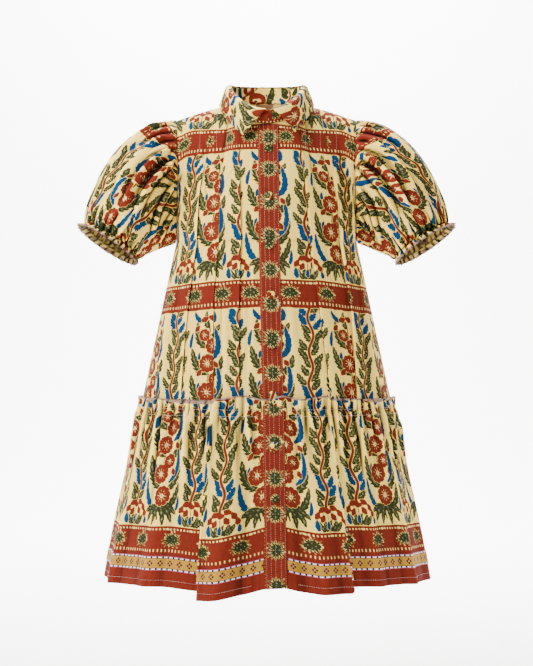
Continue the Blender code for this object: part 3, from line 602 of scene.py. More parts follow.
def torso_points(turn, row):
    """The worn body's surface. Turn 0 is the front's middle, 90 the wearer's left, 180 the back's."""
    front = np.abs(turn) <= 90.0
    drift = np.interp(row, (0.0, 1.0, 2.0, 3.0), FRONT_DRIFT) * np.cos(np.radians(turn)) ** 2
    turned = np.where(front, turn + drift, turn)
    points = np.where(
        front[:, None],
        body_face(np.clip(np.abs(turned), 0.0, 90.0), row, "front"),
        body_face(np.clip(np.abs(180.0 - turn), 0.0, 90.0), row, "back"),
    )
    sign = np.where(front, np.sign(turned), np.sign(180.0 - turn))
    points[:, 0] *= np.where(sign == 0.0, 1.0, sign)
    return points


def torso(turn, row):
    """Points, outward normals and sideways directions of the body's surface for one row."""
    turn = np.asarray(turn, float)
    low, high = np.where(np.abs(turn) <= 90.0, -90.0, 90.0), np.where(np.abs(turn) <= 90.0, 90.0, 270.0)
    inside = np.clip(turn, low + 0.05, high - 0.05)
    sideways = torso_points(inside + 0.05, row) - torso_points(inside - 0.05, row)
    down = torso_points(turn, min(row + 0.004, 3.0)) - torso_points(turn, max(row - 0.004, 0.0))
    normals = np.cross(down, sideways)
    normals /= np.linalg.norm(normals, axis=1)[:, None]
    sideways /= np.linalg.norm(sideways, axis=1)[:, None]
    return torso_points(turn, row), normals, sideways


# Each pleat: its place at the chest, waist and seam in degrees from the front edge, how far its cloth
# stands out, how far its edge lies over the cloth beneath, and where the print's block starts beyond it
PLEATS = {
    "front_right": (
        {"at": (18.0, 16.6, 14.6), "high": 0.0042, "lap": 0.0075, "block": 66.0},
        {"at": (33.0, 30.8, 25.8), "high": 0.0028, "lap": 0.0040, "block": 6.0},
        {"at": (49.7, 47.3, 42.5), "high": 0.0040, "lap": 0.0060, "block": 90.0},
    ),
    "front_left": (
        {"at": (23.5, 27.0, 27.5), "high": 0.0044, "lap": 0.0080, "block": -51.0},
        {"at": (36.5, 38.0, 37.0), "high": 0.0012, "lap": 0.0012, "block": None},
        {"at": (51.4, 49.8, 42.4), "high": 0.0036, "lap": 0.0045, "block": 44.0},
    ),
    "back": (
        {"at": (18.0, 18.0, 17.0), "high": 0.0040, "lap": 0.0065, "block": -48.0},
        {"at": (34.0, 33.0, 31.0), "high": 0.0034, "lap": 0.0050, "block": 20.0},
        {"at": (51.0, 49.0, 46.0), "high": 0.0040, "lap": 0.0060, "block": 50.0},
    ),
}
# A folded edge in section, from the cloth beneath to the cloth on top: share of the lap, share of the height
FOLD_LINE = np.array([
    (0.0, 0.0), (0.25, 0.0), (0.50, 0.01), (0.72, 0.03), (0.90, 0.08), (1.0, 0.22), (0.92, 0.38),
    (0.70, 0.46), (0.42, 0.53), (0.14, 0.61), (-0.06, 0.72), (-0.12, 0.85), (-0.08, 0.95), (0.02, 1.0),
])


def panel_columns(pleats, spacing):
    """Columns from the middle to the side: their angle, the pleat whose folded edge they belong to, and
    their place in that fold. The count is one more than a multiple of three."""
    stops = [0.0, *(p["at"][0] for p in pleats), 90.0]
    angle, fold, share = [], [], []
    for k in range(len(stops) - 1):
        count = max(int(round((stops[k + 1] - stops[k]) / spacing)), 3)
        plain = np.linspace(stops[k], stops[k + 1], count + 1)
        if k > 0:
            plain = plain[1:]
        if k < len(stops) - 2:
            plain = plain[:-1]
        if k == len(stops) - 2:
            extra = (len(angle) + len(plain) - 1) % 3
            if extra:
                plain = np.linspace(plain[0], plain[-1], len(plain) + 3 - extra)
        angle += list(plain)
        fold += [-1] * len(plain)
        share += [0] * len(plain)
        if k < len(stops) - 2:
            angle += [stops[k + 1]] * len(FOLD_LINE)
            fold += [k] * len(FOLD_LINE)
            share += list(range(len(FOLD_LINE)))
    return np.array(angle), np.array(fold), np.array(share)


def opening_pleat(row):
    """How far a pleat has opened at this row: sewn down above the chest, full below it, held at the seam."""
    return smooth((row - 0.40) / 0.30) * smooth((2.12 - row) / 0.35)


def body_panel(pleats, rows, spacing, face, side, creases):
    """Outer grid, smooth inner grid and place in the print for one half of the body's front or back."""
    angle, fold, share = panel_columns(pleats, spacing)
    knots = [0.0, *(p["at"][0] for p in pleats), 90.0]
    outer, base, across_mm = [], [], []
    for row in rows:
        lines = [np.interp(row, (0.42, 1.35, 2.0), p["at"]) for p in pleats]
        spread = np.interp(angle, knots, [0.0, *lines, 90.0])
        turn = side * spread if face == "front" else 180.0 - side * np.minimum(spread, 89.9999)
        points, normals, sideways = torso(turn, row)
        outwards = sideways * (side if face == "front" else -side)
        run = run_along(points)
        base.append(points - normals * WALL)
        lift, shift, place = np.zeros(len(angle)), np.zeros(len(angle)), side * run * 1000.0
        for k, pleat in enumerate(pleats):
            opened = opening_pleat(row)
            sewn = (1.0 - smooth((row - 0.38) / 0.14)) * smooth(row / 0.05)
            high = pleat["high"] * opened + 0.0011 * sewn
            lap = pleat["lap"] * opened + 0.0016 * sewn
            at = run[np.flatnonzero(fold == k)[0]]
            beyond = (angle > knots[k + 1]) & (fold < 0)
            reach = 0.030 * opened + 0.0035
            lift += np.where(beyond, high * smooth(1.0 - (run - at) / reach) ** 0.8, 0.0)
            mine = fold == k
            lift[mine] += high * FOLD_LINE[share[mine], 1]
            shift[mine] += lap * FOLD_LINE[share[mine], 0]
            later = fold > k
            lift[later] += high * smooth(1.0 - (run[later] - at) / reach) ** 0.8
            if pleat["block"] is not None:
                past = (angle > knots[k + 1]) | mine
                place = np.where(past, pleat["block"] + side * (run - at) * 1000.0, place)
                place[mine] -= side * (1.0 - share[mine] / (len(FOLD_LINE) - 1)) * 2000.0 * lap
        for start, top_row, end, low_row, half, high in creases:
            along = (row - top_row) / (low_row - top_row)
            fade = smooth(along / 0.3) * smooth((1.0 - along) / 0.3)
            lift += high * ridge(spread - np.interp(row, (top_row, low_row), (start, end)), half) * fade
        ripple = np.sin(np.radians(spread * 11.0 + row * 40.0)) * smooth(spread / 8.0)
        lift += 0.0006 * opening_pleat(row) * ripple
        outer.append(points + normals * lift[:, None] + outwards * shift[:, None])
        across_mm.append(place)
    outer, base = np.array(outer), np.array(base)
    drop = run_down(base)
    level = -0.318 - 0.012 * np.sin(np.radians(angle)) ** 2
    reference = np.array([np.interp(-level[c], -base[:, c, 2], drop[:, c]) for c in range(len(angle))])
    up_mm = (reference[None, :] - drop) * 1000.0
    return outer, base[::3, ::3], (np.array(across_mm), up_mm)


# Soft creases between the pleats: turn and row of both ends, half width in degrees, height
FRONT_CREASES = {
    "front_right": (
        (62.0, 0.30, 40.0, 0.95, 5.0, 0.0022),
        (70.0, 0.42, 52.0, 1.10, 4.0, 0.0016),
        (9.0, 0.95, 10.0, 1.98, 3.0, 0.0012),
        (66.0, 1.20, 60.0, 2.00, 6.0, 0.0030),
        (25.0, 1.25, 21.0, 2.00, 2.4, 0.0014),
    ),
    "front_left": (
        (64.0, 0.32, 43.0, 0.98, 5.0, 0.0020),
        (72.0, 0.40, 56.0, 1.05, 4.0, 0.0018),
        (10.0, 1.10, 11.0, 1.98, 3.0, 0.0012),
        (55.5, 0.50, 47.0, 1.85, 1.8, 0.0022),
        (68.0, 1.15, 61.0, 2.00, 6.0, 0.0026),
    ),
}
body_rows = np.concatenate([np.linspace(0.0, 1.0, 142), np.linspace(1.0, 2.01, 169)[1:]])
assert (len(body_rows) - 1) % 3 == 0
front_faces = {}
for name, side in (("front_right", -1.0), ("front_left", 1.0)):
    outer, inner, place = body_panel(PLEATS[name], body_rows, 0.47, "front", side, FRONT_CREASES[name])
    front_faces[name] = outer
    front = cloth_shell(name + "_cloth", outer, inner, place, printed_cotton)
    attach(front, "root")
    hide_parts(name)

# The back panel, cut in one piece, with the same tucks as the fronts.

BACK_CREASES = (
    (62.0, 0.32, 44.0, 1.00, 5.0, 0.0022),
    (9.0, 1.00, 9.0, 1.98, 3.4, 0.0014),
    (42.0, 1.20, 39.0, 2.00, 3.0, 0.0020),
    (66.0, 1.15, 60.0, 2.00, 6.0, 0.0028),
)
back_rows = np.concatenate([np.linspace(0.0, 1.0, 94), np.linspace(1.0, 2.01, 115)[1:]])


def joined(left, right):
    """The grids of the back's two halves as one, from the wearer's left to the right."""
    return np.concatenate([left[:, ::-1], right[:, 1:]], axis=1)


halves = [body_panel(PLEATS["back"], back_rows, 0.66, "back", side, BACK_CREASES) for side in (1.0, -1.0)]
(outer_left, inner_left, place_left), (outer_right, inner_right, place_right) = halves
outer, inner = joined(outer_left, outer_right), joined(inner_left, inner_right)
place = (-joined(place_left[0], place_right[0]), joined(place_left[1], place_right[1]))
back = cloth_shell("back_cloth", outer, inner, place, printed_cotton)
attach(back, "root")
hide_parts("back")

# The gathered tier: two front panels and one back panel, wider than the body, drawn up on the seam by
# two rows of stitching. Its top edge is overlocked and stands up free above the seam as a small frill.
# It is folded double at the hem. The placket crosses it in front.

HEADING_Z = -0.5245
CLOTH_UP = 0.0021


def clear_of_placket(turn):
    return smooth((np.abs(turn) - 6.7) / 3.0)


# Gathers: turn, half width in degrees, height in millimetres, and length down from the seam as a share
# of the tier. Those of the front are placed one by one, those behind are like them.
GATHERS = (
    (-86, 1.5, 4.0, 0.34), (-82, 1.3, 3.4, 0.26), (-77, 1.6, 4.4, 0.44), (-72.5, 1.2, 3.2, 0.22),
    (-68.5, 1.5, 4.2, 0.38), (-64, 1.4, 3.6, 0.30), (-60, 1.2, 3.0, 0.20), (-56, 1.7, 4.8, 0.52),
    (-51.5, 1.2, 3.2, 0.26), (-47.5, 1.5, 4.2, 0.40), (-43.5, 1.2, 3.0, 0.24), (-39.5, 1.6, 4.6, 0.48),
    (-35.4, 1.1, 3.2, 0.22), (-31.8, 1.3, 3.8, 0.36), (-28.3, 1.0, 3.2, 0.30), (-24.6, 1.2, 3.6, 0.30),
    (-21.4, 1.0, 3.0, 0.18), (-18.0, 1.3, 4.0, 0.42), (-14.6, 1.0, 3.0, 0.20), (-11.6, 1.0, 3.4, 0.30),
    (9.4, 0.9, 3.0, 0.18), (12.2, 1.1, 3.8, 0.40), (15.4, 1.0, 3.0, 0.24), (18.4, 1.1, 3.4, 0.32),
    (21.6, 1.0, 3.0, 0.20), (24.7, 1.1, 3.6, 0.30), (28.4, 1.1, 3.4, 0.36), (31.8, 1.0, 3.0, 0.20),
    (35.2, 1.4, 4.4, 0.50), (39.4, 1.2, 3.2, 0.26), (43.2, 1.3, 3.8, 0.34), (47.2, 1.2, 3.2, 0.22),
    (51.6, 1.6, 4.6, 0.54), (56.2, 1.2, 3.2, 0.24), (60.4, 1.4, 4.0, 0.36), (64.8, 1.3, 3.2, 0.24),
    (69.2, 1.6, 4.4, 0.46), (73.8, 1.2, 3.0, 0.22), (78.2, 1.5, 4.2, 0.38), (82.6, 1.3, 3.4, 0.28),
    (86.6, 1.4, 3.8, 0.34), (94, 1.6, 4.2, 0.38), (98.6, 1.3, 3.4, 0.26), (103, 1.7, 4.6, 0.48),
    (107.8, 1.3, 3.2, 0.24), (112, 1.5, 4.2, 0.36), (116.6, 1.4, 3.6, 0.30), (121, 1.7, 4.8, 0.52),
    (126, 1.3, 3.2, 0.22), (130.4, 1.6, 4.4, 0.42), (135, 1.3, 3.4, 0.28), (139.4, 1.5, 4.0, 0.34),
    (144, 1.4, 3.4, 0.24), (148.6, 1.7, 4.6, 0.50), (153.2, 1.3, 3.2, 0.22), (157.4, 1.5, 4.2, 0.38),
    (162, 1.3, 3.4, 0.26), (166.4, 1.6, 4.6, 0.44), (171, 1.3, 3.2, 0.22), (175.2, 1.5, 4.2, 0.36),
    (180, 1.6, 4.4, 0.46), (184.6, 1.3, 3.2, 0.24), (189, 1.5, 4.2, 0.40), (193.6, 1.4, 3.4, 0.26),
    (198, 1.7, 4.8, 0.50), (202.8, 1.3, 3.2, 0.22), (207, 1.5, 4.0, 0.34), (211.6, 1.4, 3.6, 0.28),
    (216, 1.7, 4.6, 0.46), (220.8, 1.3, 3.2, 0.24), (225, 1.6, 4.4, 0.40), (229.6, 1.3, 3.4, 0.26),
    (234, 1.5, 4.2, 0.36), (238.6, 1.4, 3.4, 0.26), (243, 1.7, 4.8, 0.52), (248, 1.3, 3.2, 0.22),
    (252.4, 1.6, 4.2, 0.40), (257, 1.3, 3.4, 0.28), (261.4, 1.5, 4.0, 0.34), (265.8, 1.4, 3.4, 0.26),
)
# Large soft folds: turn at the seam and at the hem, half width in degrees, height at the hem in millimetres
TIER_FOLDS = (
    (-92, -96, 9, 10), (-66, -70, 7, 11), (-44, -47, 7, 9), (-17, -19, 8, 20), (12, 16, 8, 13),
    (37, 40, 6, 8), (58, 61, 7, 11), (82, 84, 8, 9), (108, 106, 9, 12), (132, 134, 8, 13),
    (157, 157, 8, 11), (181, 180, 8, 13), (205, 204, 8, 11), (231, 229, 8, 13),
)
# The two deep folds of the front, whose inner cloth lies over the outer: turn at the seam and the hem,
# height and lap at the hem
DEEP_FOLDS = {
    "tier_front_right": ({"at": (26.6, 25.6), "high": 0.0125, "lap": 0.020, "block": (26.0, -41.0)},),
    "tier_front_left": ({"at": (25.0, 27.4), "high": 0.0105, "lap": 0.018, "block": (-27.0, 31.0)},),
    "tier_back": (),
}


def hem_drop(turn):
    """How far the hem hangs below its own level, from the front's middle to the back's."""
    turns, drops = (-25.7, -19, -10, -4, 3, 8, 15, 27.5), (17.8, 14.5, 6.5, -1.5, -3.0, 3.0, 7.2, 8.4)
    inner = np.interp(turn, turns, drops)
    outer = 4.0 * ridge(turn + 25.7, 14.0) - 1.0 * ridge(turn - 27.4, 10.0)
    on_top = (turn > -25.7) & (turn < 27.4)
    return np.where(on_top, inner, outer) / 1000.0 + 0.011 * np.sin(np.radians(turn)) ** 4


def large_folds(turn, share):
    """How far the large folds lift the cloth, share of the way down the tier."""
    out = np.zeros(len(turn))
    for seam, hem, half, high in TIER_FOLDS:
        away = (turn - (seam + (hem - seam) * share) + 180.0) % 360.0 - 180.0
        out += 0.001 * high * ridge(away, half) * smooth(share / 0.9)
    return out


def tier_lift(turn, row):
    share = max(row - 2.0, 0.0)
    out = np.zeros(len(turn))
    for number, (middle, half, high, long) in enumerate(GATHERS):
        wide = half * (1.0 + 1.3 * share / long)
        fade = smooth(1.0 - share / (1.5 * long)) * (0.55 + 0.45 * smooth(share / 0.05))
        sway = 0.5 * math.sin(number * 2.4) * share / long
        away = (turn - middle - sway) * (1.0 if number % 3 else -1.0)
        out += 0.00165 * high * steep(away, wide * 1.5) * fade
    return out * clear_of_placket(turn) + large_folds(turn, share)


def tier_place(turn, row):
    """Points, level outward directions and sideways directions of the tier's smooth form for one row."""
    points, normals, sideways = torso(turn, row)
    level = normals * np.array([1.0, 1.0, 0.0])
    level /= np.linalg.norm(level, axis=1)[:, None]
    return points, level, sideways


def tier_panel(turns, rows, deep, side, blocks):
    """Outer grid, inner grid and place in the print for one tier panel. turns are the plain columns."""
    angle, fold, share = [], [], []
    for turn in turns:
        angle.append(turn)
        fold.append(-1)
        share.append(0)
    for k, one in enumerate(deep):
        at = side * one["at"][0]
        spot = int(np.searchsorted(np.array(angle), at))
        steps = range(len(FOLD_LINE)) if side < 0 else range(len(FOLD_LINE) - 1, -1, -1)
        angle[spot:spot] = [at] * len(FOLD_LINE)
        fold[spot:spot] = [k] * len(FOLD_LINE)
        share[spot:spot] = list(steps)
    while (len(angle) - 1) % 3:
        spot = int(np.argmax(np.diff(angle)))
        angle.insert(spot + 1, (angle[spot] + angle[spot + 1]) / 2.0)
        fold.insert(spot + 1, -1)
        share.insert(spot + 1, 0)
    angle, fold, share = np.array(angle), np.array(fold), np.array(share)
    outer, base, across_mm = [], [], []
    for row in rows:
        heading = row < 2.0
        part = max(row - 2.0, 0.0)
        turn = angle.copy()
        for one in deep:
            here = side * (one["at"][0] + (one["at"][1] - one["at"][0]) * part)
            start = side * one["at"][0]
            turn += (here - start) * np.clip(1.0 - np.abs(angle - start) / 18.0, 0.0, 1.0)
        plain, level, sideways = tier_place(turn, row)
        lift = tier_lift(turn, max(row, 2.0))
        if heading:
            up = (2.0 - row) / (2.0 - heading_row)
            lift = lift * (1.0 - 0.2 * up) + 0.0012 * up
        drop = hem_drop(turn) * smooth((part - 0.45) / 0.60) * 1.04
        run = run_along(plain)
        shift = np.zeros(len(angle))
        for k, one in enumerate(deep):
            mine = fold == k
            at = run[np.flatnonzero(mine)[0]]
            grow = 0.30 + 0.70 * smooth(part / 0.8)
            if heading:
                grow = 0.22
            under = mine | ((angle - side * one["at"][0]) * side > 0.0)
            high = one["high"] * grow
            near = smooth(1.0 - np.abs(run - at) / (0.05 + 0.05 * part))
            lift += np.where(under, 0.0, high * near)
            lift[mine] += high * FOLD_LINE[share[mine], 1]
            shift[mine] -= side * one["lap"] * grow * FOLD_LINE[share[mine], 0]
        points = plain + level * (CLOTH_UP + lift)[:, None] + sideways * shift[:, None]
        points[:, 2] -= drop
        if heading:
            flutter = np.sin(np.radians(turn) * 31.0 + 1.5 * np.sin(np.radians(turn) * 7.0))
            points += level * (0.0022 * up * (flutter + 0.8))[:, None]
            rise = 0.0062 * smooth((26.0 - np.abs(turn)) / 1.5) - 0.0012
            wave = np.sin(np.radians(turn) * 13.0 + 2.0 * np.sin(np.radians(turn) * 5.0))
            points[:, 2] += up * (rise + 0.0030 * wave)
        outer.append(points)
        inside = plain + level * (CLOTH_UP - WALL + 0.8 * large_folds(turn, part))[:, None]
        inside[:, 2] -= drop
        base.append(inside)
        place = run * 1000.0 * 1.12
        if len(deep):
            at = place[np.flatnonzero(fold == 0)[0]]
            beyond = (angle - side * deep[0]["at"][0]) * side > 0.0
            near, far = deep[0]["block"]
            opening = place[-1] if side < 0 else place[0]
            place = np.where(beyond, far + (place - at), place - opening + near)
        across_mm.append(place + blocks)
    outer, base = np.array(outer), np.array(base)
    across_mm = np.array(across_mm)
    middle = len(rows) // 2
    across_mm = np.repeat(across_mm[middle][None, :], len(rows), axis=0)
    down = run_down(outer)
    up_mm = np.maximum((down[-1][None, :] - down) * 1000.0 - 103.0, -49.2)
    return outer, base[::3, ::3], (across_mm, up_mm), (angle, down * 1000.0)


heading_row = 1.0 + (UNDERARM_Z - HEADING_Z) / (UNDERARM_Z - SEAM_Z)
tier_rows = np.concatenate([np.linspace(heading_row, 2.0, 10), np.linspace(2.0, 3.0, 160)[1:]])
tier_parts = {}
SEAM_GAP = 0.02
for name, start, end, columns, side, cut in (
    ("tier_front_right", -90.0, 0.0, 217, -1.0, (0.50, 0.33)),
    ("tier_front_left", 0.0, 90.0, 217, 1.0, (0.50, 0.33)),
    ("tier_back", 90.0, 270.0, 313, 0.0, (0.98, 0.33)),
):
    turns = np.linspace(start + SEAM_GAP, end - SEAM_GAP, columns)
    rows = tier_rows
    if not side:
        rows = np.concatenate([np.linspace(heading_row, 2.0, 7), np.linspace(2.0, 3.0, 110)[1:]])
        rows = np.append(rows[: 3 * ((len(rows) - 1) // 3)], 3.0)
    panel = tier_panel(turns, rows, DEEP_FOLDS[name], side, 0.0 if side else 20.0)
    outer, inner, place, (columns_at, down) = panel
    tier_parts[name] = (columns_at, rows, outer)
    tier = cloth_shell(name + "_cloth", outer, inner, place, printed_cotton, edge=down)
    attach(tier, "root")
    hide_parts(name)

# The woven ribbon sewn round the tier above its hem: maroon edges with a white running dash, and a
# mustard field with small four-petalled flowers. It is cut at the placket.

RIBBON_HIGH, RIBBON_LOW = 0.0525, 0.0275
MUSTARD = (0.360, 0.180, 0.016, 1.0)
MAROON = (0.060, 0.002, 0.008, 1.0)
DASH_WHITE = (0.800, 0.760, 0.740, 1.0)
DASH_REPEAT, FLOWER_REPEAT = 10.6, 19.0


def off_middle(value, repeat):
    """Where value lies in its repeat, as a share from -0.5 to 0.5."""
    return calc(tree, "SUBTRACT", calc(tree, "FRACT", calc(tree, "DIVIDE", value, repeat)), 0.5)


def near(value, low, high):
    """1 below low, 0 above high, smooth between."""
    return calc(tree, "SUBTRACT", 1.0, step_between(tree, value, low, high))


ribbon_weave = bpy.data.materials.new("ribbon_weave")
ribbon_weave.use_nodes = True
tree = ribbon_weave.node_tree
place = attribute(tree, "cloth_place", "Vector")
parts = add_node(tree, "ShaderNodeSeparateXYZ", Vector=place)
along, up_ribbon = parts.outputs[0], parts.outputs[1]
from_middle = calc(tree, "ABSOLUTE", up_ribbon)
yarn = calc(tree, "SINE", calc(tree, "MULTIPLY", along, 9.0))
field = paint(tree, MUSTARD, (0.440, 0.240, 0.030, 1.0), calc(tree, "MULTIPLY_ADD", yarn, 0.3, 0.4))
colour = paint(tree, field, MAROON, step_between(tree, from_middle, 7.6, 8.1))
dash = near(calc(tree, "ABSOLUTE", off_middle(along, DASH_REPEAT)), 0.30, 0.34)
row_at = calc(tree, "ABSOLUTE", calc(tree, "SUBTRACT", from_middle, 10.0))
dash = calc(tree, "MULTIPLY", dash, near(row_at, 0.8, 1.2))
colour = paint(tree, colour, DASH_WHITE, dash)
aside = calc(tree, "ABSOLUTE", calc(tree, "MULTIPLY", off_middle(along, FLOWER_REPEAT), FLOWER_REPEAT))
reach = calc(tree, "ADD", aside, from_middle)
arms = calc(tree, "ABSOLUTE", calc(tree, "SUBTRACT", aside, from_middle))
petals = calc(tree, "MAXIMUM", step_between(tree, arms, 0.6, 1.0), near(reach, 2.0, 2.4))
colour = paint(tree, colour, MAROON, calc(tree, "MULTIPLY", near(reach, 5.4, 6.0), petals))
colour = paint(tree, colour, (0.620, 0.360, 0.340, 1.0), near(reach, 1.1, 1.6))
rim = calc(tree, "ABSOLUTE", calc(tree, "SUBTRACT", from_middle, 12.0))
colour = paint(tree, colour, (0.380, 0.070, 0.110, 1.0), near(rim, 0.3, 0.5))
finish_cloth_and_paint_shade(ribbon_weave, colour, place, 0.74, 0.16)
ribbon_weave.node_tree.nodes["Principled BSDF"].inputs["Sheen Weight"].default_value = 0.05


for name, (columns_at, rows, outer) in tier_parts.items():
    length = np.linalg.norm(np.diff(outer, axis=0), axis=2)
    from_hem = np.concatenate([np.cumsum(length[::-1], axis=0)[::-1], np.zeros((1, outer.shape[1]))])
    levels = np.linspace(RIBBON_HIGH, RIBBON_LOW, 10)
    strip = np.empty((len(levels), outer.shape[1], 3))
    for c in range(outer.shape[1]):
        for axis in range(3):
            strip[:, c, axis] = np.interp(levels, from_hem[::-1, c], outer[::-1, c, axis])
    normals = grid_normals(strip)
    keep = np.abs(columns_at) > 3.9 if name != "tier_back" else np.ones(len(columns_at), bool)
    strip, normals = strip[:, keep], normals[:, keep]
    run = run_along(strip[5]) * 1000.0
    run, height = np.meshgrid(run, (levels - (RIBBON_HIGH + RIBBON_LOW) / 2.0) * 1000.0)
    lift = 0.0011 - 0.0005 * (np.abs(height) > 12.4)[:, :, None]
    node = name.replace("tier", "ribbon")
    top, under = strip + normals * lift, strip + normals * 0.0002
    ribbon = cloth_shell(node + "_weave", top, under, (run, height), ribbon_weave, every=1)
    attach(ribbon, "root")
    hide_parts(node)

# The button placket: a band cut lengthwise from the red border, folded over the front edge and sewn
# down with five rows of stitches. It runs from the collar stand to the hem.

PLACKET_HALF = 0.0180
PLACKET_UP = 0.0019
PLACKET_WALL = 0.0011
BORDER_MIDDLE = -24.0


def across_front(row, offset):
    """The turn at which the front lies this far to the side of its edge."""
    turn = np.linspace(-30.0, 30.0, 241)
    points = torso_points(turn, row)
    middle = np.interp(0.0, turn, points[:, 0])
    return np.interp(middle + np.asarray(offset), points[:, 0], turn)


def placket_surface(row, offsets, lift):
    """The placket's face at one row, over the fronts above and over the tier below."""
    turn = across_front(row, offsets)
    points, normals, _ = torso(turn, row)
    on_tier = smooth((row - heading_row + 0.006) / 0.006)
    level = normals * np.array([1.0, 1.0, 0.0])
    level /= np.linalg.norm(level, axis=1)[:, None]
    part = max(row - 2.0, 0.0)
    out = normals * (1.0 - on_tier) + level * on_tier
    high = PLACKET_UP + lift + on_tier * (CLOTH_UP + tier_lift(turn, max(row, 2.0)))
    points = points + out * np.asarray(high)[:, None]
    points[:, 2] -= hem_drop(turn) * smooth((part - 0.45) / 0.60) * 1.04
    return points, out


ROWS_OF_STITCHES = (-0.0156, -0.0078, 0.0004, 0.0084, 0.0158)
placket_rows = np.concatenate([np.linspace(0.015, heading_row, 295), np.linspace(heading_row, 3.0, 174)[1:]])
placket_rows = placket_rows[: 3 * ((len(placket_rows) - 1) // 3) + 1]
placket_rows[-1] = 3.0
offsets = np.linspace(-PLACKET_HALF, PLACKET_HALF, 25)
face, under = [], []
for row in placket_rows:
    channel = sum(-0.00028 * ridge(offsets - at, 0.0016) for at in ROWS_OF_STITCHES)
    pucker = 0.00012 * np.sin(row * 190.0 + offsets * 300.0) + 0.00025 * np.sin(row * 37.0)
    rounded = -0.0006 * smooth((np.abs(offsets) - 0.0168) / 0.0012)
    face.append(placket_surface(row, offsets, channel + pucker + rounded)[0])
    under.append(placket_surface(row, offsets, -PLACKET_WALL)[0])
face, under = np.array(face), np.array(under)
down = run_along(face[:, 12]) * 1000.0
x, y = np.meshgrid(offsets * 1000.0, down, indexing="xy")
placket_cloth = printed_material("placket_cloth")
border_place = (y * 1.13 + 6.0, BORDER_MIDDLE + x * 0.85)
placket = cloth_shell("placket_band", face, under[::3, ::3], border_place, placket_cloth)
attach(placket, "root")
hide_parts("placket")

# The nine buttons: domed shanks covered with scraps of the same cloth, drawn tight round the rim.

BUTTON_RADIUS = 0.0078
SECOND_BUTTON_Z, BUTTON_STEP = -0.088, 0.0857
middle_line, middle_ways = face[:, 12], grid_normals(face)[:, 12]
button_seats = []
for number in range(8):
    spot = int(np.argmin(np.abs(middle_line[:, 2] - (SECOND_BUTTON_Z - number * BUTTON_STEP))))
    button_seats.append((middle_line[spot], middle_ways[spot]))


def neck_ring(turn):
    turn = np.radians(turn)
    ahead = np.cos(turn)
    level = np.where(ahead > 0.0, NECK_POINTS["front"][2], NECK_POINTS["back"][2]) * np.abs(ahead)
    depth = np.where(ahead > 0.0, NECK_POINTS["front"][1], -NECK_POINTS["back"][1])
    return np.stack([NECK_HALF_WIDTH * np.sin(turn), depth * ahead, level], axis=-1)


FOLD_SIDE, FOLD_BACK, FOLD_FRONT = (0.0670, 0.002, 0.0370), (0.0, 0.0655, 0.0415), (0.004, -0.0790, -0.0165)
FALL_SIDE, FALL_BACK = (0.0850, -0.004, -0.004), (0.0, 0.0790, -0.002)
POINT_RIGHT, POINT_LEFT = (0.0423, -0.0865, -0.0660), (0.0530, -0.0840, -0.0580)


def oval(turn, side, back, front):
    angle = np.radians(turn)
    ahead = np.cos(angle)
    ends = np.where((ahead > 0.0)[:, None], np.asarray(front), np.asarray(back))
    share = np.abs(ahead)
    return np.stack([side[0] * np.sin(angle), side[1] + (ends[:, 1] - side[1]) * share,
                     side[2] + (ends[:, 2] - side[2]) * share**1.35], axis=-1)


def lap_lift(turn):
    return 0.0018 * smooth((turn - 325.0) / 22.0)


def stand_line(turn, t):
    bottom = neck_ring(turn)
    bottom[:, 2] += 0.0011
    top = oval(turn, FOLD_SIDE, FOLD_BACK, FOLD_FRONT)
    top[:, 2] -= 0.0027
    top *= np.array([0.975, 0.975, 1.0])
    outward = bottom * np.array([1.0, 1.0, 0.0])
    outward /= np.linalg.norm(outward, axis=1)[:, None]
    return mix(bottom, top, t) + outward * (lap_lift(turn) + 0.0015 * math.sin(math.pi * t))[:, None], outward


seat_turn = np.array([358.5])
seat, seat_out = stand_line(seat_turn, 0.45)
rise = stand_line(seat_turn, 0.6)[0][0] - stand_line(seat_turn, 0.3)[0][0]
aside = stand_line(seat_turn + 2.0, 0.45)[0][0] - stand_line(seat_turn - 2.0, 0.45)[0][0]
facing = np.cross(aside, rise)
facing /= np.linalg.norm(facing)
facing *= np.sign(facing @ seat_out[0])
button_seats.insert(0, (seat[0], facing))
# Where in the print each button's scrap of cloth is cut
SCRAPS = ((10, -20), (98, -22), (62, 120), (40, -25), (6, 150), (104, -27), (70, 60), (14, 70), (96, -20))

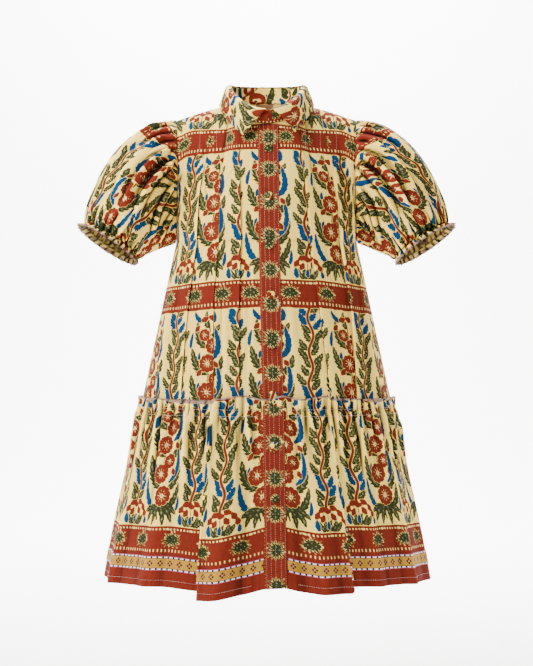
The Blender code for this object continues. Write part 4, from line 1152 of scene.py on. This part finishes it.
for number, ((seat, out), scrap) in enumerate(zip(button_seats, SCRAPS, strict=True), start=1):
    bpy.ops.mesh.primitive_uv_sphere_add(segments=36, ring_count=20, radius=1.0, location=(0, 0, 0))
    button = bpy.context.object
    button.name = f"button_{number}_covered"
    count = len(button.data.vertices)
    co = np.empty(count * 3)
    button.data.vertices.foreach_get("co", co)
    co = co.reshape(-1, 3)
    r, z = np.hypot(co[:, 0], co[:, 1]), co[:, 2]
    dome = np.where(z > 0.0, 0.0008 + 0.0026 * (1.0 - r**2.4), 0.0008 - 0.0022 * smooth(-z * 2.0))
    width = np.where(z > -0.1, BUTTON_RADIUS * np.minimum(r**0.92, 1.0), BUTTON_RADIUS * r * 0.72)
    spin = np.arctan2(co[:, 1], co[:, 0])
    pucker = 0.00022 * np.sin(spin * 15.0) * smooth((r - 0.8) / 0.2)
    co = np.stack([width * np.cos(spin), width * np.sin(spin), dome + 0.0014 + pucker], axis=-1)
    out = np.asarray(out) / np.linalg.norm(out)
    right = np.cross((0.0, 0.0, 1.0), -out)
    right = -right / np.linalg.norm(right)
    top = np.cross(out, right)
    world = np.asarray(seat) + co[:, :1] * right + co[:, 1:2] * top + co[:, 2:] * out + out * 0.0004
    button.data.vertices.foreach_set("co", world.ravel())
    x, y = scrap[0] + co[:, 0] * 1000.0, scrap[1] + co[:, 1] * 1000.0
    layers = block_at(x, y) | {"wrong_side_shade": np.zeros(count), "edge": np.full(count, NO_EDGE)}
    add_layers(button.data, layers, x, y)
    button.data.materials.append(placket_cloth)
    button.data.shade_smooth()
    button.data.update()
    button.select_set(False)
    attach(button, "root")
    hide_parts(f"button_{number}")

# The collar: a stand sewn to the neckline, its right end lapped over the left, and a turned-down fall
# with two points, stitched round its edge. The stand's front ends are cut from the red border.

turn = np.linspace(-8.0, 368.0, 247)
lines = [stand_line(turn, t) for t in np.linspace(1.0, 0.0, 22)]
stand_face = np.array([line[0] for line in lines])
stand_inside = stand_face - np.array([line[1] for line in lines]) * WALL
x = run_along(stand_face[11]) * 1000.0
x, y = np.meshgrid(x, np.linspace(118.0, 80.0, 22))
in_front = np.abs(x - x.max() / 2.0) > 110.0
stand = cloth_shell("collar_stand_cloth", stand_face, stand_inside[::3, ::3],
                    (x + 14.0, y - 124.0 * in_front), printed_cotton, wrong_side_shade=0.0)
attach(stand, "root")
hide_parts("collar_stand")

body_turns = np.concatenate([np.linspace(-89.0, 89.0, 90), np.linspace(91.0, 269.0, 90)])
samples = [torso(body_turns, row) for row in np.linspace(0.0, 0.7, 36)]
near_body = np.concatenate([s[0] for s in samples])
near_normals = np.concatenate([s[1] for s in samples])


def lay_on_body(points, clearance):
    """Points in the body, or too close above it, are moved out along its nearest normal."""
    flat = points.reshape(-1, 3)
    moved = flat.copy()
    for start in range(0, len(flat), 200):
        part = flat[start : start + 200]
        gaps = np.linalg.norm(part[:, None] - near_body[None], axis=2)
        nearest = gaps.argmin(axis=1)
        above = ((part - near_body[nearest]) * near_normals[nearest]).sum(axis=1)
        push = np.clip(clearance - above, 0.0, None) * (gaps.min(axis=1) < 0.05)
        moved[start : start + 200] = part + near_normals[nearest] * push[:, None]
    return moved.reshape(points.shape)


turn = np.linspace(9.4, 359.0, 229)
crest = oval(turn, FOLD_SIDE, FOLD_BACK, FOLD_FRONT)
outward = crest * np.array([1.0, 1.0, 0.0])
outward /= np.linalg.norm(outward, axis=1)[:, None]
lapped = lap_lift(turn)[:, None] * outward
point = np.where((turn < 180.0)[:, None], np.asarray(POINT_LEFT), np.asarray(POINT_RIGHT))
point = point * np.stack([np.where(turn < 180.0, 1.0, -1.0), np.ones(len(turn)), np.ones(len(turn))], axis=-1)
ahead = np.clip(np.cos(np.radians(turn)), 0.0, 1.0)[:, None]
fall = mix(oval(turn, FALL_SIDE, FALL_BACK, (0.0, POINT_RIGHT[1], POINT_RIGHT[2])), point, ahead**2.2)
guides = np.array([
    crest - outward * 0.0030 + lapped, crest + outward * 0.0030 + lapped - np.array([0.0, 0.0, 0.0012]),
    mix(crest, fall, 0.40) + outward * 0.0040 + lapped * 0.5, mix(crest, fall, 0.72) + outward * 0.0030, fall,
])
guides[2:] = lay_on_body(guides[2:], 0.0043)
where = np.array([0.0, 0.12, 0.48, 0.76, 1.0])
levels = np.concatenate([np.linspace(0.0, 0.12, 8), np.linspace(0.12, 1.0, 36)[1:]])
slopes = np.gradient(guides, where, axis=0)
collar_face = []
for level in levels:
    k = min(int(np.searchsorted(where, level, side="right")) - 1, 3)
    span = where[k + 1] - where[k]
    t = (level - where[k]) / span
    a, b = (1 + 2 * t) * (1 - t) ** 2, t * (1 - t) ** 2
    c, d = t * t * (3 - 2 * t), t * t * (t - 1)
    collar_face.append(a * guides[k] + b * span * slopes[k] + c * guides[k + 1] + d * span * slopes[k + 1])
collar_face = np.array(collar_face)
ways = grid_normals(collar_face)
if (ways[-1] * outward).sum() < 0.0:
    ways = -ways
roll = 0.0004 * np.sin(np.radians(turn * 9.0))
collar_face = collar_face + ways * (roll[None, :] * levels[:, None])[:, :, None]
x = run_along(fall) * 1000.0
down = run_down(collar_face)
x = np.repeat(x[None, :], len(levels), axis=0)
collar = cloth_shell("collar_cloth", collar_face, (collar_face - ways * 0.0016)[::3, ::3],
                     (x - 14.0, 175.0 - down * 1000.0), printed_cotton, wrong_side_shade=0.0)
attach(collar, "root")
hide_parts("collar")

# The puff sleeves. Each is one wide piece, pleated into the top of the armhole and drawn in above the
# cuff by a row of elastic. Below it the overlocked edge stands out as a narrow wavy frill.

ELASTIC_CENTRE, ELASTIC_RADIUS, ELASTIC_TILT = (0.2769, -0.014, -0.2450), 0.0552, 11.0
SLEEVE_OUT = (0.545, -0.838)
SLEEVE_HANDLES = {
    "top": ((0.080, 0.000, 0.004), (-0.003, 0.000, 0.092)),
    "front": ((0.035, -0.050, 0.016), (-0.022, -0.036, 0.056)),
    "under": ((0.018, 0.000, -0.008), (-0.020, 0.000, 0.006)),
    "back": ((0.035, 0.046, 0.016), (-0.022, 0.036, 0.056)),
}
# Pleats of the head: turn (0 at the shoulder tip, 90 in front), height in millimetres, half width
HEAD_PLEATS = (
    (-64, 3.6, 8), (-50, 4.6, 7), (-36, 5.2, 7), (-22, 5.8, 7), (-8, 6.2, 7), (8, 6.6, 7), (20, 6.6, 7),
    (33, 6.2, 7), (46, 5.4, 7), (60, 4.0, 8),
)
# Gathers above the elastic: turn, half width in degrees, height in millimetres, how far up they reach
CUFF_GATHERS = (
    (4, 5, 4.2, 0.30), (17, 4, 3.2, 0.20), (29, 5, 4.8, 0.42), (41, 4, 3.4, 0.24), (54, 5, 4.6, 0.34),
    (66, 4, 3.2, 0.22), (78, 5, 5.2, 0.46), (91, 4, 3.6, 0.26), (103, 5, 4.6, 0.38), (116, 4, 3.2, 0.20),
    (128, 5, 4.2, 0.30), (141, 4, 3.4, 0.26), (154, 5, 3.8, 0.22), (167, 4, 3.0, 0.18),
    (180, 5, 3.8, 0.26), (193, 4, 3.0, 0.18), (206, 5, 4.0, 0.28), (219, 4, 3.4, 0.24),
    (232, 5, 4.4, 0.34), (244, 4, 3.4, 0.22), (257, 5, 4.8, 0.44), (270, 4, 3.4, 0.24),
    (283, 5, 4.4, 0.36), (296, 4, 3.2, 0.20), (308, 5, 4.4, 0.40), (321, 4, 3.4, 0.24),
    (334, 5, 4.8, 0.38), (347, 4, 3.2, 0.22),
)
# Creases that run down from the armhole's front and back, and swags between them: turn and row of both
# ends, half width in degrees, height in millimetres
SLEEVE_CREASES = (
    (74, 0.04, 122, 0.78, 9, 8.5), (58, 0.06, 96, 0.84, 8, 7.5), (38, 0.08, 70, 0.80, 8, 4.6),
    (14, 0.10, 34, 0.78, 8, 3.8), (-74, 0.04, -122, 0.78, 9, 8.0), (-56, 0.06, -96, 0.84, 8, 7.0),
    (-36, 0.08, -70, 0.78, 8, 4.6), (-14, 0.10, -38, 0.78, 8, 3.6), (100, 0.03, 158, 0.62, 8, 5.6),
    (-100, 0.03, -158, 0.62, 8, 5.2), (130, 0.03, 168, 0.45, 7, 3.0), (-130, 0.03, -168, 0.45, 7, 3.0),
)


def armhole(turn):
    """The armhole's points and the body's normals: 0 at the shoulder tip, 90 in front, 180 underneath."""
    points, normals = [], []
    for angle in turn:
        angle = angle % 360.0
        row = 1.0 - abs(angle - 180.0) / 180.0
        place, normal, _ = torso([90.0 if angle <= 180.0 else 90.0001], row)
        points.append(place[0])
        normals.append(normal[0])
    return np.array(points), np.array(normals)


def elastic_ring(turn, along, wave):
    tilt = math.radians(ELASTIC_TILT)
    out = np.array([SLEEVE_OUT[0] * math.cos(tilt), -math.sin(tilt), SLEEVE_OUT[1] * math.cos(tilt)])
    up = np.array([-SLEEVE_OUT[1], 0.0, SLEEVE_OUT[0]])
    front = np.cross(out, up)
    front *= -np.sign(front[1])
    angle = np.radians(turn)[:, None]
    centre = np.asarray(ELASTIC_CENTRE) + (out * 0.0115 + up * 0.0032) * along
    radius = ELASTIC_RADIUS + 0.0069 * along + wave[:, None]
    return centre + radius * (np.cos(angle) * up + np.sin(angle) * front)


SLEEVE_COLUMNS = 216
sleeve_turns = np.arange(SLEEVE_COLUMNS) * 360.0 / SLEEVE_COLUMNS
armhole_points, armhole_normals = armhole(sleeve_turns)
turn_from_tip = (sleeve_turns + 180.0) % 360.0 - 180.0
sleeve_rows = np.concatenate([
    np.linspace(0.0, 0.06, 7), np.linspace(0.06, 0.86, 76)[1:], np.linspace(0.86, 1.0, 15)[1:],
    np.linspace(1.0, 2.0, 14)[1:],
])
# How far below the shoulder tip the armhole lies, in millimetres, by its turn from the tip
TURNS_FROM_TIP, BELOW_TIP = (0, 30, 65, 100, 140, 180), (0, 22, 77, 125, 152, 160)


def sleeve_skin(side):
    turn, start, normals = sleeve_turns, armhole_points + armhole_normals * 0.0016, armhole_normals
    angle = np.radians(turn)
    shares = {"top": np.clip(np.cos(angle), 0.0, 1.0) ** 2, "under": np.clip(-np.cos(angle), 0.0, 1.0) ** 2,
              "front": np.clip(np.sin(angle), 0.0, 1.0) ** 2, "back": np.clip(-np.sin(angle), 0.0, 1.0) ** 2}
    first = sum(w[:, None] * np.asarray(SLEEVE_HANDLES[k][0]) for k, w in shares.items())
    second = sum(w[:, None] * np.asarray(SLEEVE_HANDLES[k][1]) for k, w in shares.items())
    end = elastic_ring(turn, 0.0, 0.0 * turn)
    slip = 3.0 if side > 0 else -2.0
    frill = 0.0034 * np.cos(angle * 27.0 + 0.8 * np.sin(angle * 4.0 + slip))
    frill += 0.0012 * np.cos(angle * 11.0 + slip)
    grid = []
    for row in sleeve_rows:
        if row <= 1.0:
            grid.append(bezier(start, start + first, end + second, end, np.full(len(turn), row)))
        else:
            along = row - 1.0
            flare = elastic_ring(turn, along, frill * smooth(along / 0.7))
            grid.append(flare)
    grid = np.array(grid)
    ways = -grid_normals(grid, tube=True)
    ways[0] = normals
    lift = np.zeros(grid.shape[:2])
    for i, row in enumerate(sleeve_rows):
        head = smooth(row / 0.05) * smooth(1.0 - (row - 0.05) / 0.42)
        for at, high, half in HEAD_PLEATS:
            away = (turn - at * (1.0 + 0.15 * row) + 180.0) % 360.0 - 180.0
            lift[i] += 0.001 * high * steep(away * (1.0 if at > 0 else -1.0), half) * head
        for at, half, high, reach in CUFF_GATHERS:
            away = (turn - at - slip + 180.0) % 360.0 - 180.0
            wide = half * (1.0 + 1.6 * max(1.0 - row, 0.0) / reach)
            fade = smooth((row - (1.0 - reach)) / (0.8 * reach)) * smooth((1.035 - row) / 0.03)
            lift[i] += 0.001 * high * steep(away, wide) * fade
        for a0, r0, a1, r1, half, high in SLEEVE_CREASES:
            t = (row - r0) / (r1 - r0)
            away = (turn - (a0 + (a1 - a0) * t + slip) + 180.0) % 360.0 - 180.0
            wide = half * (0.55 + 0.75 * min(max(t, 0.0), 1.0))
            lean = steep(-away * np.sign(a1 - a0), wide)
            lift[i] += 0.0015 * high * lean * smooth(t / 0.12) * smooth((1.0 - t) / 0.35)
        ripple = np.sin(np.radians(turn * 7.0 + row * 300.0 + slip * 20.0))
        lift[i] += 0.0009 * ripple * smooth(row / 0.2) * smooth((0.9 - row) / 0.2)
    outer = grid + ways * lift[:, :, None]
    inner = grid - ways * WALL
    return outer, inner[::3, ::3], grid


for name, side in (("sleeve_left", 1.0), ("sleeve_right", -1.0)):
    outer, inner, plain = sleeve_skin(side)
    mirror = np.array([side, 1.0, 1.0])
    down = run_down(plain) * 1000.0
    left = down[-1][None, :] - down
    x = np.repeat((turn_from_tip - 78.0)[None, :] * side * 1.62, len(sleeve_rows), axis=0)
    y = 27.0 - down - np.interp(np.abs(turn_from_tip), TURNS_FROM_TIP, BELOW_TIP)[None, :]
    sleeve = cloth_shell(name + "_cloth", outer * mirror, inner * mirror, (x, y), printed_cotton,
                         edge=left, tube=True)
    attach(sleeve, "root")
    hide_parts(name)

# The sewing threads: pale cotton, in short stitches that sink into the cloth at both ends.

THREAD = (0.720, 0.560, 0.470, 1.0)
sewing_thread = bpy.data.materials.new("sewing_thread")
sewing_thread.use_nodes = True
tree = sewing_thread.node_tree
place = add_node(tree, "ShaderNodeTexCoord").outputs["Object"]
plied = add_node(tree, "ShaderNodeTexWave", Vector=place, Scale=900.0)
colour = paint(tree, THREAD, (0.560, 0.400, 0.320, 1.0), plied.outputs["Fac"])
tree.links.new(colour, tree.nodes["Principled BSDF"].inputs["Base Color"])
tree.nodes["Principled BSDF"].inputs["Roughness"].default_value = 0.62
tree.nodes["Principled BSDF"].inputs["Sheen Weight"].default_value = 0.12
twist = add_node(tree, "ShaderNodeBump", Height=plied.outputs["Fac"], Strength=0.3, Distance=0.0001)
tree.links.new(twist.outputs[0], tree.nodes["Principled BSDF"].inputs["Normal"])


def stitch_row(name, line, ways, pitch=0.0030, length=0.0023, radius=0.00026, sink=0.0001):
    """Stitches along a line of points with outward ways: each is a slim six-cornered body."""
    line, ways = np.asarray(line), np.asarray(ways)
    run = run_along(line)
    count = int(run[-1] / pitch)
    vertices, faces = [], []
    for k in range(count):
        ends = []
        for at in (k * pitch, k * pitch + length / 2.0, k * pitch + length):
            spot = [np.interp(at, run, line[:, axis]) for axis in range(3)]
            way = np.array([np.interp(at, run, ways[:, axis]) for axis in range(3)])
            ends.append((np.array(spot), way / np.linalg.norm(way)))
        along = ends[2][0] - ends[0][0]
        along /= max(np.linalg.norm(along), 1e-9)
        across = np.cross(along, ends[1][1])
        base = len(vertices)
        vertices.append(ends[0][0] - ends[0][1] * sink)
        centre = ends[1][0] + ends[1][1] * radius * 0.5
        for part in (across, ends[1][1], -across, -ends[1][1]):
            vertices.append(centre + part * radius)
        vertices.append(ends[2][0] - ends[2][1] * sink)
        for n in range(4):
            m = (n + 1) % 4
            faces.append((base, base + 1 + m, base + 1 + n))
            faces.append((base + 5, base + 1 + n, base + 1 + m))
    mesh = bpy.data.meshes.new(name)
    mesh.from_pydata([tuple(v) for v in vertices], [], faces)
    mesh.materials.append(sewing_thread)
    mesh.shade_smooth()
    piece = bpy.data.objects.new(name, mesh)
    bpy.context.scene.collection.objects.link(piece)
    piece.select_set(True)
    bpy.context.view_layer.objects.active = piece
    bpy.ops.object.mode_set(mode="EDIT")
    bpy.ops.mesh.select_all(action="SELECT")
    bpy.ops.mesh.normals_make_consistent(inside=False)
    bpy.ops.object.mode_set(mode="OBJECT")
    piece.select_set(False)
    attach(piece, "root")
    return piece


placket_ways = grid_normals(face)
for number, at in enumerate(ROWS_OF_STITCHES, start=1):
    column = int(np.argmin(np.abs(offsets - at)))
    stitch_row(f"placket_stitches_{number}", face[:, column], placket_ways[:, column])
# Two rows gather the tier onto its seam and one holds its hem
TIER_HIGH, SECOND_ROW, HEM_TURN = 0.33, 0.012, 0.014
for name, (columns_at, rows, outer) in tier_parts.items():
    clear = np.abs(columns_at) > 7.5
    seen = outer[:, clear] if name != "tier_back" else outer
    seen_ways = grid_normals(seen)
    seen_ways *= np.sign((seen_ways * (seen - seen.mean(axis=(0, 1)))).sum())
    below_seam = int(np.searchsorted(rows, 2.0 + SECOND_ROW / TIER_HIGH))
    above_hem = int(np.searchsorted(rows, 3.0 - HEM_TURN / TIER_HIGH))
    for number, row in enumerate((int(np.searchsorted(rows, 2.0)), below_seam, above_hem)):
        line = seen[row] + seen_ways[row] * 0.0002
        stitch_row(f"{name}_stitches_{number + 1}", line, seen_ways[row], length=0.0025, radius=0.00036)
# The tucks' seams: how far each lies to the wearer's left of the middle
TUCK_SEAMS = {"front_right": (-0.1183, -0.0884, -0.0608), "front_left": (0.0689, 0.0952, 0.1242)}
TUCK_END_Z = -0.092
for name, seams in TUCK_SEAMS.items():
    grid = front_faces[name]
    grid_ways = grid_normals(grid)
    grid_ways *= np.sign(-grid_ways[:, :, 1].mean())
    for number, seam in enumerate(seams):
        line, line_ways = [], []
        for points, normals in zip(grid, grid_ways):
            nearest = int(np.argmin(np.abs(points[:, 0] - seam) + (points[:, 1] > 0.03)))
            if points[nearest, 2] > TUCK_END_Z and abs(points[nearest, 0] - seam) < 0.003:
                line.append(points[nearest])
                line_ways.append(normals[nearest])
        stitch_row(f"{name}_tuck_stitches_{number + 1}", line, line_ways)
stitch_row("collar_stitches", collar_face[-4, 3:-3], ways[-4, 3:-3])

# The setting for the picture: a plain pale floor with a backdrop, and soft studio light from the front.

bpy.ops.mesh.primitive_plane_add(size=1.0, location=(0, 0, 0))
floor = bpy.context.object
floor.name = "studio_floor"
co = np.array([(-6.0, -6.0, -1.10), (6.0, -6.0, -1.10), (-6.0, 3.4, -1.10), (6.0, 3.4, -1.10)])
floor.data.vertices.foreach_set("co", co.ravel())
bpy.ops.object.mode_set(mode="EDIT")
bpy.ops.mesh.select_all(action="DESELECT")
bpy.ops.object.mode_set(mode="OBJECT")
for edge in floor.data.edges:
    edge.select = all(floor.data.vertices[v].co.y > 1.0 for v in edge.vertices)
bpy.ops.object.mode_set(mode="EDIT")
bpy.ops.mesh.select_mode(type="EDGE")
bpy.ops.mesh.extrude_region_move(TRANSFORM_OT_translate={"value": (0.0, 1.2, 0.35)})
bpy.ops.mesh.extrude_region_move(TRANSFORM_OT_translate={"value": (0.0, 0.3, 5.0)})
bpy.ops.object.mode_set(mode="OBJECT")
curve_up = floor.modifiers.new("curve_up", "BEVEL")
curve_up.width, curve_up.segments, curve_up.limit_method = 0.9, 10, "ANGLE"
bpy.ops.object.modifier_apply(modifier="curve_up")
floor.data.shade_smooth()
paper = bpy.data.materials.new("backdrop_paper")
paper.use_nodes = True
paper.node_tree.nodes["Principled BSDF"].inputs["Base Color"].default_value = (0.96, 0.96, 0.955, 1.0)
paper.node_tree.nodes["Principled BSDF"].inputs["Roughness"].default_value = 0.9
floor.data.materials.append(paper)
floor.select_set(False)


def soft_light(name, place, aim, size, power):
    lamp = bpy.data.lights.new(name, "AREA")
    lamp.shape, lamp.size, lamp.energy = "SQUARE", size, power
    light = bpy.data.objects.new(name, lamp)
    light.location = place
    aim = (aim[0] - place[0], aim[1] - place[1], aim[2] - place[2])
    light.rotation_euler = mathutils.Vector(aim).to_track_quat("-Z", "Y").to_euler()
    bpy.context.scene.collection.objects.link(light)


soft_light("key_light", (-1.10, -1.05, 0.85), (0.0, 0.0, -0.05), 0.8, 68.0)
soft_light("fill_light", (2.4, -2.6, 0.3), (0.0, 0.0, -0.4), 2.4, 24.0)
soft_light("top_light", (0.2, 0.4, 2.6), (0.0, 0.0, -0.4), 2.0, 34.0)
soft_light("backdrop_light", (0.0, 2.2, 2.6), (0.0, 4.0, -0.9), 3.0, 1500.0)
world = bpy.data.worlds.new("studio")
world.use_nodes = True
world.node_tree.nodes["Background"].inputs["Color"].default_value = (0.96, 0.98, 1.0, 1.0)
world.node_tree.nodes["Background"].inputs["Strength"].default_value = 0.29
bpy.context.scene.world = world

lens = bpy.data.cameras.new("camera")
lens.sensor_fit, lens.sensor_height, lens.sensor_width = "VERTICAL", 36.0, 36.0
lens.lens = 36.0 * 3.0 / 1.1988
camera = bpy.data.objects.new("camera", lens)
camera.location = (0.0, -3.0, -0.4104)
camera.rotation_euler = (math.radians(90.0), 0.0, 0.0)
bpy.context.scene.collection.objects.link(camera)
bpy.context.scene.camera = camera
